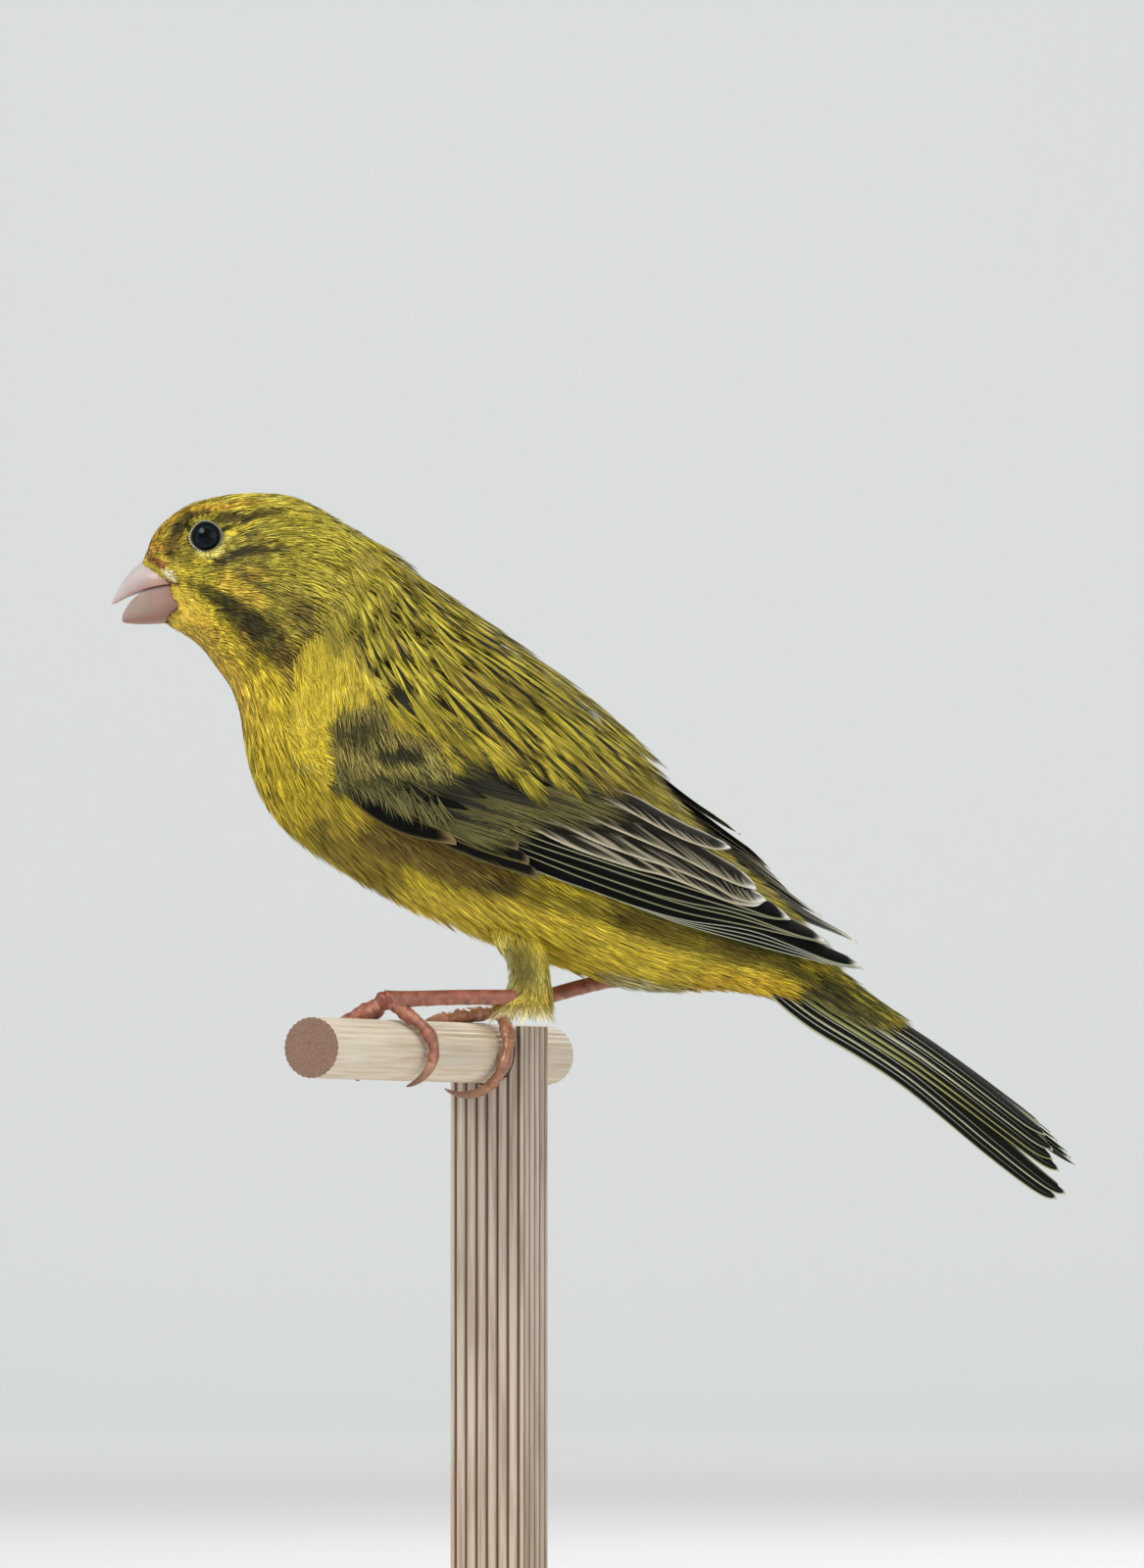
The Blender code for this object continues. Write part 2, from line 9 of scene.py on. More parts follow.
import bpy
import numpy as np
from bpy.props import FloatProperty, FloatVectorProperty, IntProperty, PointerProperty
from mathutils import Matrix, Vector


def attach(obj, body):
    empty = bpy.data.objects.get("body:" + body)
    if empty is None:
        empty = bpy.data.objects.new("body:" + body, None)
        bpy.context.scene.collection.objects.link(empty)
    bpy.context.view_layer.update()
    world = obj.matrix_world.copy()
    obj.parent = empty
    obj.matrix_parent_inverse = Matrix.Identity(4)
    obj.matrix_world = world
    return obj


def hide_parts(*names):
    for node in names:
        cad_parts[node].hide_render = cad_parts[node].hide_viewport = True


bl_info = {
    "name": "Perched canary",
    "version": (1, 0, 0),
    "blender": (4, 5, 0),
    "location": "3D View > Sidebar > Canary",
    "description": "Builds the plumage, eyes, bill, feet and wood of a perched canary",
    "category": "Add Mesh",
}

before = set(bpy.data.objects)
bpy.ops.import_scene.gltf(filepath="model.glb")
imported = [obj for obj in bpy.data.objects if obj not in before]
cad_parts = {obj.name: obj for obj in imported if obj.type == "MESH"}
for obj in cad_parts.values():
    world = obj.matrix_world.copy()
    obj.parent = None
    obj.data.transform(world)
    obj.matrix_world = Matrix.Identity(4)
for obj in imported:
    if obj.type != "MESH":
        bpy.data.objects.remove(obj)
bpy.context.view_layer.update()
MM = 0.001

# ---------------- proportions, in mm

# The straight line through the body that wings and tail are laid out along.
AXIS_START = np.array([-33.0, 0.0, 127.3])
SLOPE = math.radians(33.0)
ALONG = np.array([math.cos(SLOPE), 0.0, -math.sin(SLOPE)])
DORSAL = np.array([math.sin(SLOPE), 0.0, math.cos(SLOPE)])
LEFT = np.array([0.0, -1.0, 0.0])
TRUNK_ROLL, TRUNK_ROLL_SPAN = math.radians(16.0), (-12.0, 14.0)
TAIL_ROLL, TAIL_ROLL_SPAN = math.radians(4.0), (60.0, 95.0)

# Body stations from bill to tail: back x, back z, belly x, belly z, half width, coat depth.
BODY = (
    (-56.3, 141.3, -53.4, 133.2, 3.4, 0.35),
    (-55.3, 144.4, -51.6, 131.9, 5.6, 0.6),
    (-52.9, 147.0, -49.3, 130.2, 7.4, 0.8),
    (-49.2, 148.9, -47.2, 127.5, 8.7, 0.9),
    (-43.9, 149.8, -45.4, 124.7, 9.7, 1.1),
    (-37.5, 149.4, -44.4, 121.5, 10.3, 1.4),
    (-31.4, 146.4, -44.0, 118.1, 11.2, 1.7),
    (-24.6, 141.9, -43.2, 114.0, 12.7, 2.0),
    (-17.3, 136.2, -41.1, 109.3, 14.4, 2.3),
    (-9.9, 131.0, -36.7, 104.8, 15.6, 2.4),
    (-3.1, 125.7, -28.9, 99.8, 16.1, 2.4),
    (3.0, 119.9, -19.6, 95.2, 15.9, 2.4),
    (9.2, 112.9, -9.3, 91.4, 14.8, 2.3),
    (15.9, 105.5, 1.8, 88.7, 12.2, 2.1),
    (22.7, 99.5, 11.6, 87.7, 9.0, 1.8),
    (28.4, 94.0, 19.6, 86.9, 5.8, 1.4),
    (33.2, 89.2, 26.2, 84.9, 3.4, 1.1),
    (36.0, 86.0, 31.0, 82.6, 2.4, 0.8),
)

# The smooth form of back and folded wings: distance along the axis, then the section's
# centre height, upward radius and sideways radius.
FOLD = (
    (-8.0, 2.7, 14.2, 10.9),
    (-4.0, 0.9, 16.0, 11.9),
    (0.0, -0.3, 17.1, 13.4),
    (4.0, -1.4, 17.8, 15.9),
    (10.0, -2.0, 18.0, 17.7),
    (20.0, -2.8, 18.4, 18.5),
    (30.0, -3.0, 17.7, 18.4),
    (40.0, -2.8, 15.9, 17.1),
    (50.0, -2.3, 13.9, 15.1),
    (56.0, -1.7, 12.4, 13.7),
    (60.0, -1.2, 10.9, 12.8),
    (66.0, -0.6, 9.3, 11.8),
    (71.0, -0.2, 8.9, 11.1),
    (75.5, 0.1, 8.7, 10.4),
)

# Tail: distance along the axis, height of the ridge, half width, drop of the sides.
TAIL = (
    (58.0, 2.8, 7.2, 3.0),
    (66.0, 2.5, 6.0, 4.9),
    (74.0, 2.3, 5.1, 5.4),
    (82.0, 2.3, 5.2, 5.0),
    (90.0, 2.2, 5.8, 4.5),
    (102.0, 1.4, 6.5, 4.3),
    (113.0, 0.2, 7.1, 3.5),
)

EYE = np.array([-48.4, 5.35, 143.75])  # the right eye; the left one mirrors it
EYE_RADIUS = 2.6
EYE_OPENING = 1.58

DOWEL_RADIUS = 3.78
DOWEL_TURN = math.radians(27.4)
DOWEL_AT_POST = np.array([-11.9, 13.3, 79.5])
DOWEL_DIR = np.array([math.sin(DOWEL_TURN), math.cos(DOWEL_TURN), 0.0])
DOWEL_REAR = np.array([math.cos(DOWEL_TURN), -math.sin(DOWEL_TURN), 0.0])
UP = np.array([0.0, 0.0, 1.0])

HEELS = {"left": (-5.9, -9.6, 86.0), "right": (4.4, 9.0, 89.3)}
# On the dowel: place along it, degrees round it, then distance from its axis for the balls,
# and for a toe's root, bend and tip the slack under it. A toe ends with its claw's share.
BALLS = {"left": (-31.4, 5.0, 6.2), "right": (-4.2, 24.0, 5.7)}
TOES = {
    "left": {
        "hallux": ((-31.0, 16.0, 0.3), (-27.0, 82.0, 0.3), (-27.6, 162.0, 0.1), 0.3),
        "inner": ((-32.0, -8.0, 0.3), (-35.4, -58.0, 0.0), (-36.8, -128.0, 0.0), 0.27),
        "middle": ((-31.4, -10.0, 0.3), (-32.0, -62.0, 0.0), (-32.4, -146.0, 0.0), 0.24),
        "outer": ((-30.6, -7.0, 0.3), (-27.8, -56.0, 0.0), (-26.4, -128.0, 0.0), 0.28),
    },
    "right": {
        "hallux": ((-4.8, 36.0, 0.3), (-7.4, 104.0, 0.1), (-8.6, 216.0, 0.9), 0.36),
        "inner": ((-5.4, 12.0, 0.2), (-10.2, -14.0, 0.0), (-15.0, -38.0, 0.1), 0.26),
        "middle": ((-4.9, 8.0, 0.2), (-7.8, -48.0, 0.0), (-9.2, -140.0, 0.0), 0.24),
        "outer": ((-4.3, 8.0, 0.2), (-4.6, -42.0, 0.0), (-4.8, -120.0, 0.0), 0.28),
    },
}
TOE_RADIUS = (0.94, 0.72)
TOE_ROOT = 0.45

# Feathered thighs: centre line x, y, z, then half widths fore-and-aft and sideways.
THIGHS = {
    "left": (
        (-10.2, -4.6, 99.0, 3.0, 1.8),
        (-9.9, -5.4, 95.8, 3.4, 2.2),
        (-9.1, -6.7, 93.0, 3.6, 2.6),
        (-8.2, -8.3, 90.4, 2.9, 2.6),
        (-8.0, -9.3, 87.8, 3.0, 2.5),
        (-8.4, -9.7, 85.4, 3.6, 2.5),
    ),
    "right": (
        (-0.5, 7.6, 102.0, 5.6, 4.6),
        (0.8, 8.6, 98.6, 4.9, 4.1),
        (1.9, 8.9, 96.2, 3.8, 3.4),
        (3.1, 9.0, 94.0, 2.8, 2.7),
        (3.7, 9.0, 92.0, 2.5, 2.1),
        (4.0, 9.0, 90.6, 1.8, 1.5),
    ),
}


# ---------------- plain numeric helpers


def paint(red, green, blue):
    """A display colour of 0 to 255 as linear light."""
    value = np.array([red, green, blue]) / 255
    return np.where(value <= 0.04045, value / 12.92, ((value + 0.055) / 1.055) ** 2.4)


def smooth(low, high, value):
    """0 below low, 1 above high, with an even slope at both ends."""
    share = np.clip((np.asarray(value, float) - low) / (high - low), 0, 1)
    return share * share * (3 - 2 * share)


def unit(vectors):
    """Vectors brought to length one."""
    return vectors / np.maximum(np.linalg.norm(vectors, axis=-1, keepdims=True), 1e-9)


def spline(keys, at):
    """Catmull-Rom curve through keys, one row per whole number, straight past both ends."""
    keys = np.asarray(keys, float)
    at = np.asarray(at, float)
    inside = np.clip(at, 0, len(keys) - 1)
    start = np.minimum(inside.astype(int), len(keys) - 2)
    share = (inside - start)[..., None]
    before, here = keys[np.maximum(start - 1, 0)], keys[start]
    there, after = keys[start + 1], keys[np.minimum(start + 2, len(keys) - 1)]
    curve = 0.5 * (
        2 * here
        + (there - before) * share
        + (2 * before - 5 * here + 4 * there - after) * share**2
        + (3 * here - before - 3 * there + after) * share**3
    )
    over = (at - inside)[..., None]
    slope = np.where(over > 0, keys[-1] - keys[-2], keys[1] - keys[0])
    return curve + over * slope


def keyed(keys, at):
    """The columns after the first, which is the distance, read at the distances at."""
    keys = np.asarray(keys, float)
    first, last = keys[0, 0], keys[-1, 0]
    inside = np.interp(at, keys[:, 0], np.arange(len(keys)))
    past = np.maximum(np.asarray(at, float) - last, 0) / (last - keys[-2, 0])
    short = np.minimum(np.asarray(at, float) - first, 0) / (keys[1, 0] - first)
    return spline(keys[:, 1:], inside + past + short)


def roll_at(t):
    """Angle of the roll at a distance along the axis."""
    trunk = TRUNK_ROLL * smooth(*TRUNK_ROLL_SPAN, t)
    return trunk + TAIL_ROLL * smooth(*TAIL_ROLL_SPAN, t)


def roll(points):
    """Turns points about the body's axis, by the roll where each one lies along it."""
    offset = points - AXIS_START
    t = offset @ ALONG
    angle = roll_at(t)[..., None]
    centre = AXIS_START + t[..., None] * ALONG
    arm = points - centre
    return centre + arm * np.cos(angle) + np.cross(ALONG, arm) * np.sin(angle)


# Where the face meets the bill, in side view: height, how far forward the feathers reach,
# and the bill's half width there.
BILL_EDGE = (
    (132.6, -54.8, 1.2),
    (133.3, -53.9, 1.9),
    (134.2, -52.9, 2.6),
    (135.2, -51.9, 3.3),
    (136.0, -52.4, 3.55),
    (136.9, -52.8, 3.65),
    (137.9, -53.0, 3.8),
    (138.8, -53.8, 3.9),
    (139.8, -55.1, 3.3),
    (140.7, -56.3, 2.4),
    (141.5, -57.4, 1.2),
    (142.6, -60.0, 0.8),
)


def bill_edge(z):
    """How far forward the feathers reach at height z, and the bill's half width there."""
    inside = np.clip(z, BILL_EDGE[0][0], BILL_EDGE[-1][0])
    return np.moveaxis(keyed(BILL_EDGE, inside), -1, 0)


def face_gap(points):
    """How far behind the edge of the bill a point lies, and the bill's half width there."""
    edge, wide = bill_edge(points[..., 2])
    above = np.maximum(points[..., 2] - 141.6, 0) * 3
    below = np.maximum(133.2 - points[..., 2], 0) * 3
    return (points[..., 0] - edge) * 0.85 + above + below, wide


def tuck(points):
    """Draws the front of the face in towards the bill: the sides stand no wider than the
    bill at its edge and swell with the square root of the distance behind it."""
    gap, wide = face_gap(points)
    room = wide - 0.35 + 2.3 * np.sqrt(np.clip(gap, 0, None)) + 0.25 * np.minimum(gap, 0)
    y = points[..., 1]
    limit = np.maximum(room, 0.3)
    over = np.abs(y) / limit
    held = limit * np.where(over < 0.7, over, 0.7 + 0.3 * np.tanh((over - 0.7) / 0.3))
    near = 1 - smooth(3.0, 6.0, gap)
    moved = points.copy()
    moved[..., 1] = np.sign(y) * (held * near + np.abs(y) * (1 - near))
    return moved


def axis_view(points):
    """Unrolled points by their distance along the axis, and the height over it where they
    show from the bird's left, both sides alike."""
    offset = points - AXIS_START
    t, n = offset @ ALONG, offset @ DORSAL
    angle = roll_at(t)
    return t, n * np.cos(angle) - np.abs(points[..., 1]) * np.sin(angle)


def circle(count):
    """count angles at even steps round a full turn."""
    return np.arange(count) * 2 * math.pi / count


def off_stretch(x, z, start, end):
    """Distance of the points x, z from the straight stretch between start and end."""
    (x0, z0), (x1, z1) = start, end
    dx, dz = x1 - x0, z1 - z0
    share = np.clip(((x - x0) * dx + (z - z0) * dz) / (dx * dx + dz * dz), 0, 1)
    return np.hypot(x - x0 - share * dx, z - z0 - share * dz)


def even_points(count, seed):
    """count points spread evenly over the unit square: multiples of two irrational steps."""
    index = np.arange(count) + 1
    u = (seed * 0.37 + index * 0.7548776662466927) % 1
    v = (seed * 0.61 + index * 0.5698402909980532) % 1
    return u, v


# ---------------- surfaces of the bird


def body(s, theta, h=0.0):
    """Body loft: the middle of back and belly, plus half their distance times the cosine of
    theta, plus the half width to the left times its sine, all grown by h less the coat."""
    rows = spline(BODY, s)
    back_x, back_z, belly_x, belly_z, width, coat = np.moveaxis(rows, -1, 0)
    grow = h - coat
    half_x, half_z = (back_x - belly_x) / 2, (back_z - belly_z) / 2
    tall = np.hypot(half_x, half_z)
    stretch = (tall + grow) / tall * np.cos(theta)
    x = (back_x + belly_x) / 2 + half_x * stretch
    z = (back_z + belly_z) / 2 + half_z * stretch
    y = -(width + grow) * np.sin(theta)
    return tuck(np.stack([x, y + 0 * x, z], axis=-1))


def fold(t, phi, h=0.0):
    """Back and folded wings: an ellipse square to the axis at t, phi from the back's middle
    to the left, grown by h."""
    middle, tall, wide = np.moveaxis(keyed(FOLD, t), -1, 0)
    high = middle + (tall + h) * np.cos(phi)
    out = (wide + h) * np.sin(phi)
    line = AXIS_START + np.asarray(t)[..., None] * ALONG
    return line + high[..., None] * DORSAL + out[..., None] * LEFT


def wing_angle(t, n):
    """The fold's phi that shows at height n above the axis from the bird's left."""
    middle, tall, wide = np.moveaxis(keyed(FOLD, t), -1, 0)
    angle = roll_at(t)
    high, out = tall * np.cos(angle), wide * np.sin(angle)
    level = (n - middle * np.cos(angle)) / np.hypot(high, out)
    return np.arccos(np.clip(level, -0.999, 0.999)) - np.arctan2(out, high)


def tail_top(t, across, h=0.0):
    """Upper side of the tail: a ridge whose sides drop as across grows from 0 to 1."""
    ridge, wide, drop = np.moveaxis(keyed(TAIL, t), -1, 0)
    high = ridge - drop * np.abs(across) ** 1.6 + h
    line = AXIS_START + np.asarray(t)[..., None] * ALONG
    return line + high[..., None] * DORSAL + (wide * across)[..., None] * LEFT


def thigh(side):
    """Feathered thigh as a surface: k down its centre line, psi round it, grown by h."""
    keys = THIGHS[side]

    def surface(k, psi, h=0.0):
        x, y, z, fore, wide = np.moveaxis(spline(keys, k), -1, 0)
        x = x - (fore + h) * np.cos(psi)
        y = y - (wide + h) * np.sin(psi)
        return np.stack([x, y, z + 0 * x], axis=-1)

    return surface


def on_dowel(place, degrees, radius):
    """Points beside the dowel: place along it, angle round it, distance from its axis."""
    place, radius = np.asarray(place, float), np.asarray(radius, float)
    turn = np.radians(degrees)
    return (
        DOWEL_AT_POST
        + place[..., None] * DOWEL_DIR
        + (radius * np.sin(turn))[..., None] * DOWEL_REAR
        + (radius * np.cos(turn))[..., None] * UP
    )


STEP = 0.02  # how far along a surface's coordinates its slope is measured


def spans(surface, a, b, step):
    """The surface's points at (a, b), and their travel for each unit of a and of b."""
    here = surface(a, b)
    moved = (surface(a + step, b), surface(a, b + step))
    return here, *(np.linalg.norm(one - here, axis=-1) / step for one in moved)


# ---------------- mesh building


def new_mesh(name, points, faces, material, colours=None, uv=None, weave=None):
    """One mesh object at the origin from arrays in millimetres. faces is (count, 3 or 4)."""
    mesh = bpy.data.meshes.new(name)
    points = np.asarray(points, np.float32) * np.float32(MM)
    faces = np.asarray(faces, np.int32)
    corners = faces.shape[1]
    mesh.vertices.add(len(points))
    mesh.vertices.foreach_set("co", points.ravel())
    mesh.loops.add(faces.size)
    mesh.loops.foreach_set("vertex_index", faces.ravel())
    mesh.polygons.add(len(faces))
    mesh.polygons.foreach_set("loop_start", np.arange(len(faces), dtype=np.int32) * corners)
    mesh.update(calc_edges=True)
    mesh.polygons.foreach_set("use_smooth", np.ones(len(faces), bool))
    if colours is not None:
        layer = mesh.color_attributes.new("tint", "FLOAT_COLOR", "POINT")
        full = np.concatenate([colours, np.ones((len(colours), 1))], axis=1)
        layer.data.foreach_set("color", full.astype(np.float32).ravel())
    for map_name, values in (("OFBake", uv), ("weave", weave)):
        if values is not None:
            layer = mesh.uv_layers.new(name=map_name)
            layer.data.foreach_set("uv", values[faces.ravel()].astype(np.float32).ravel())
    made = bpy.data.objects.new(name, mesh)
    bpy.context.scene.collection.objects.link(made)
    mesh.materials.append(material)
    return made


def grid_faces(rows, columns, wrap=False):
    """Quads over a grid of points; wrap joins the last column to the first."""
    i, j = np.meshgrid(np.arange(rows - 1), np.arange(columns if wrap else columns - 1), indexing="ij")
    after = (j + 1) % columns
    row, below = i * columns, (i + 1) * columns
    return np.stack([row + j, row + after, below + after, below + j]).reshape(4, -1).T


def closed_tube(rings):
    """Points and quads of a tube through rings of points, its ends closed by folded caps."""
    caps = [np.broadcast_to(ring.mean(axis=0), ring.shape)[None] for ring in (rings[0], rings[-1])]
    full = np.concatenate([caps[0], rings, caps[1]])
    return full.reshape(-1, 3), grid_faces(len(full), full.shape[1], wrap=True)


def outward(points, faces, ahead):
    """The faces, turned over if most of them look against the directions ahead."""
    corner = points[faces[:, :3]]
    normal = np.cross(corner[:, 1] - corner[:, 0], corner[:, 2] - corner[:, 0])
    if np.einsum("ij,ij->i", normal, ahead[faces[:, 0]]).sum() < 0:
        return faces[:, ::-1]
    return faces


def merge(parts):
    """Joins parts, each of points, faces and further values for each point, into one."""
    starts = np.cumsum([0] + [len(part[0]) for part in parts[:-1]])
    moved = [(part[0], part[1] + start, *part[2:]) for part, start in zip(parts, starts)]
    return [np.concatenate(column) for column in zip(*moved)]


def outward_tube(rings, middle):
    """A closed tube whose faces look away from its middle: a point, or one for each ring."""
    points, faces = closed_tube(rings)
    if np.ndim(middle) > 1:
        middle = np.concatenate([middle[:1], middle, middle[-1:]]).repeat(rings.shape[1], axis=0)
    return points, outward(points, faces, points - middle)


def finish_piece(piece, slot, *nodes):
    """Fixes a finished piece to the still body and hides the solids it stands for."""
    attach(piece, "root")
    if nodes:
        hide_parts(*nodes)


def add_feathers(name, made, slot="green_plumage"):
    """Turns the arrays of tufts into a finished piece."""
    finish_piece(new_mesh(name, *made[:2], feather_material(), *made[2:]), slot)


# ---------------- plumage colours

YELLOW = paint(224, 198, 56)
PALE_YELLOW = paint(236, 224, 128)
GOLD = paint(218, 174, 56)
ORANGE = paint(204, 146, 54)
RUST = paint(148, 92, 52)
CREAM = paint(236, 226, 190)
OLIVE = paint(160, 146, 54)
MOSS = paint(204, 188, 64)
BROWN = paint(122, 98, 46)
DARK = paint(58, 52, 24)
BLACK = paint(15, 17, 13)
GREY_BLACK = paint(40, 38, 30)
BUFF = paint(186, 176, 152)
WHITISH = paint(222, 220, 212)
LEG_RED = paint(128, 66, 50)
# paler scute colour, also painted highlight on the toes' tops and the shank's front
LEG_PALE_AND_HIGHLIGHT = paint(174, 122, 100)
FOOT_TAN = paint(140, 94, 66)
LEG_DARK = paint(92, 48, 36)

# Markings as seen from the side, in mm along x and z: start, end, radius, colour, strength.
MARKS = (
    # neck, cheek and breast
    ((-43.0, 140.5), (-34.5, 138.5), 5.5, OLIVE, 0.95),
    ((-40.0, 135.0), (-34.0, 132.0), 5.5, OLIVE, 0.8),
    ((-36.0, 141.0), (-16.0, 128.0), 5.0, MOSS, 0.6),
    ((-52.5, 133.0), (-42.5, 117.0), 4.0, paint(250, 212, 84), 0.85),
    ((-45.0, 115.0), (-36.0, 108.0), 7.0, YELLOW, 0.9),
    ((-36.5, 128.5), (-30.0, 121.0), 3.4, YELLOW, 0.7),
    ((-36.8, 135.5), (-35.4, 130.0), 1.6, BROWN, 0.55),
    # crown and brow
    ((-54.2, 146.0), (-47.0, 150.0), 1.3, GOLD, 0.4),
    ((-48.0, 149.9), (-36.0, 150.3), 2.2, paint(240, 222, 90), 0.8),
    ((-36.0, 149.0), (-28.0, 143.0), 3.5, MOSS, 0.8),
    ((-56.0, 144.6), (-50.0, 148.6), 1.4, OLIVE, 0.45),
    ((-56.0, 143.4), (-52.8, 146.4), 0.8, GOLD, 0.75),
    ((-56.6, 142.4), (-54.4, 142.6), 0.8, ORANGE, 0.8),
    ((-51.8, 146.9), (-43.3, 148.0), 0.6, GOLD, 0.85),
    ((-43.8, 147.9), (-40.0, 148.0), 0.4, YELLOW, 0.5),
    # lore, line over the eye and the stripe behind it
    ((-53.0, 142.0), (-52.2, 144.9), 0.95, BROWN, 0.95),
    ((-52.4, 144.4), (-50.6, 146.5), 0.7, DARK, 0.85),
    ((-50.6, 146.5), (-48.2, 147.0), 0.35, DARK, 0.7),
    ((-51.4, 141.4), (-50.4, 142.8), 1.3, OLIVE, 0.9),
    ((-46.4, 146.3), (-43.8, 146.3), 0.75, DARK, 0.85),
    ((-43.8, 146.3), (-39.6, 147.2), 0.6, DARK, 0.8),
    ((-46.3, 142.6), (-45.5, 144.2), 0.35, PALE_YELLOW, 0.45),
    ((-45.4, 144.5), (-42.8, 145.3), 0.5, YELLOW, 0.85),
    ((-49.6, 141.7), (-48.0, 141.3), 0.4, PALE_YELLOW, 0.7),
    ((-48.0, 141.3), (-46.4, 142.3), 0.4, PALE_YELLOW, 0.7),
    ((-49.0, 140.4), (-46.8, 140.6), 0.6, YELLOW, 0.7),
    ((-46.2, 144.7), (-45.2, 145.1), 0.3, BLACK, 0.9),
    ((-50.4, 144.6), (-50.9, 145.2), 0.35, BLACK, 0.9),
    ((-50.2, 145.2), (-47.0, 145.7), 0.4, DARK, 0.7),
    # cheek
    ((-47.3, 140.4), (-43.8, 141.9), 0.6, DARK, 0.95),
    ((-43.8, 141.9), (-39.0, 142.2), 0.55, DARK, 0.85),
    ((-47.0, 138.7), (-42.3, 135.6), 1.1, paint(218, 184, 62), 0.8),
    ((-43.8, 139.3), (-41.3, 138.7), 0.7, paint(218, 184, 62), 0.7),
    ((-44.6, 139.2), (-42.0, 137.2), 0.35, BROWN, 0.8),
    ((-49.0, 137.2), (-46.0, 135.0), 0.9, DARK, 0.85),
    ((-46.0, 135.0), (-42.4, 132.3), 1.5, DARK, 0.9),
    ((-42.4, 132.3), (-39.0, 129.0), 2.1, DARK, 0.8),
    ((-39.0, 129.0), (-37.4, 126.8), 1.5, BROWN, 0.7),
    ((-35.9, 134.8), (-35.2, 130.4), 0.9, DARK, 0.6),
    ((-44.2, 131.6), (-42.6, 127.6), 0.9, BROWN, 0.55),
    # nostril, gape and chin
    ((-55.4, 141.2), (-53.9, 140.3), 0.6, RUST, 0.9),
    ((-53.6, 139.4), (-52.6, 138.7), 0.42, CREAM, 1.0),
    ((-54.8, 138.0), (-52.0, 138.0), 0.3, LEG_DARK, 1.0),
    ((-52.9, 134.9), (-51.8, 134.4), 0.4, DARK, 0.6),
    ((-50.6, 138.6), (-50.3, 137.2), 0.5, BROWN, 0.6),
    # flank, belly and rump
    ((-34.0, 107.5), (-26.0, 101.5), 2.8, BROWN, 0.6),
    ((-27.0, 106.5), (-11.0, 100.0), 2.6, BROWN, 0.9),
    ((-12.0, 99.5), (8.0, 95.0), 1.5, DARK, 0.6),
    ((-22.0, 97.0), (20.0, 87.5), 3.4, paint(250, 222, 78), 1.0),
    ((4.0, 95.5), (18.0, 91.5), 1.9, DARK, 0.6),
    ((-16.0, 95.0), (14.0, 88.2), 2.0, paint(246, 220, 72), 0.8),
    ((2.0, 87.6), (12.0, 85.8), 1.4, paint(236, 228, 170), 0.9),
    ((12.0, 98.0), (32.0, 89.0), 3.4, paint(96, 88, 36), 0.7),
    ((14.0, 88.0), (27.0, 86.0), 1.8, paint(244, 204, 60), 0.9),
    ((26.0, 92.0), (38.0, 83.5), 1.8, YELLOW, 0.8),
)


def blend(colour, target, share):
    """The colour taken towards the target by a share of 0 to 1 for each point."""
    share = np.clip(share, 0, 1)[..., None]
    return colour * (1 - share) + target * share


def marking(points):
    """Plumage colour at unrolled points: warm yellow below and moss above, then each mark
    laid over it, full inside its radius and gone half a radius further out."""
    t, n = axis_view(points)
    x = AXIS_START[0] + t * ALONG[0] + n * DORSAL[0]
    z = AXIS_START[2] + t * ALONG[2] + n * DORSAL[2]
    upper = smooth(-6.0, 6.0, n)[..., None]
    colour = YELLOW * (1 - upper) + MOSS * upper
    for start, end, radius, tint, strength in MARKS:
        away = off_stretch(x, z, start, end)
        colour = blend(colour, tint, strength * (1 - smooth(0.55 * radius, 1.35 * radius, away)))
    return colour


def streaking(points):
    """How dark feather centres are: strong on mantle and flank, faint on breast and belly."""
    t, n = axis_view(points)
    mantle = smooth(-4.0, 5.0, n) * smooth(-4.0, 5.0, t)
    flank = smooth(-17.5, -13.0, n) * (1 - smooth(-9.0, -4.0, n)) * smooth(2.0, 14.0, t)
    rear = smooth(48.0, 60.0, t) * smooth(-9.0, -3.0, n)
    return np.clip(0.08 + 0.8 * mantle + 0.45 * flank + 0.5 * rear, 0, 1)


# ---------------- tufts

BARB_TAPER = np.array([0.85, 1.0, 0.7, 0.4])  # a barb's width at its joints, from the root


def strip_faces(total, joints):
    """Triangles of strips that have two points at each joint and then one at the tip."""
    strip = []
    for j in range(joints - 1):
        strip += [(2 * j, 2 * j + 1, 2 * j + 3), (2 * j, 2 * j + 3, 2 * j + 2)]
    strip.append((2 * joints - 2, 2 * joints - 1, 2 * joints))
    return (np.arange(total)[:, None, None] * (2 * joints + 1) + np.array(strip)).reshape(-1, 3)


def tuft_map(a, b, k, along):
    """Map coordinates: a small patch for each tuft, at its root's place on the surface."""
    u, v = ((value - value.min()) / max(float(np.ptp(value)), 1e-9) * 0.99 for value in (a, b))
    uv = np.empty((*k.shape, len(along), 2))
    uv[..., 0] = u[:, None, None] + 0.003 * ((k[..., None] + 1.1) / 2.2)
    uv[..., 1] = v[:, None, None] + 0.003 * along
    return uv


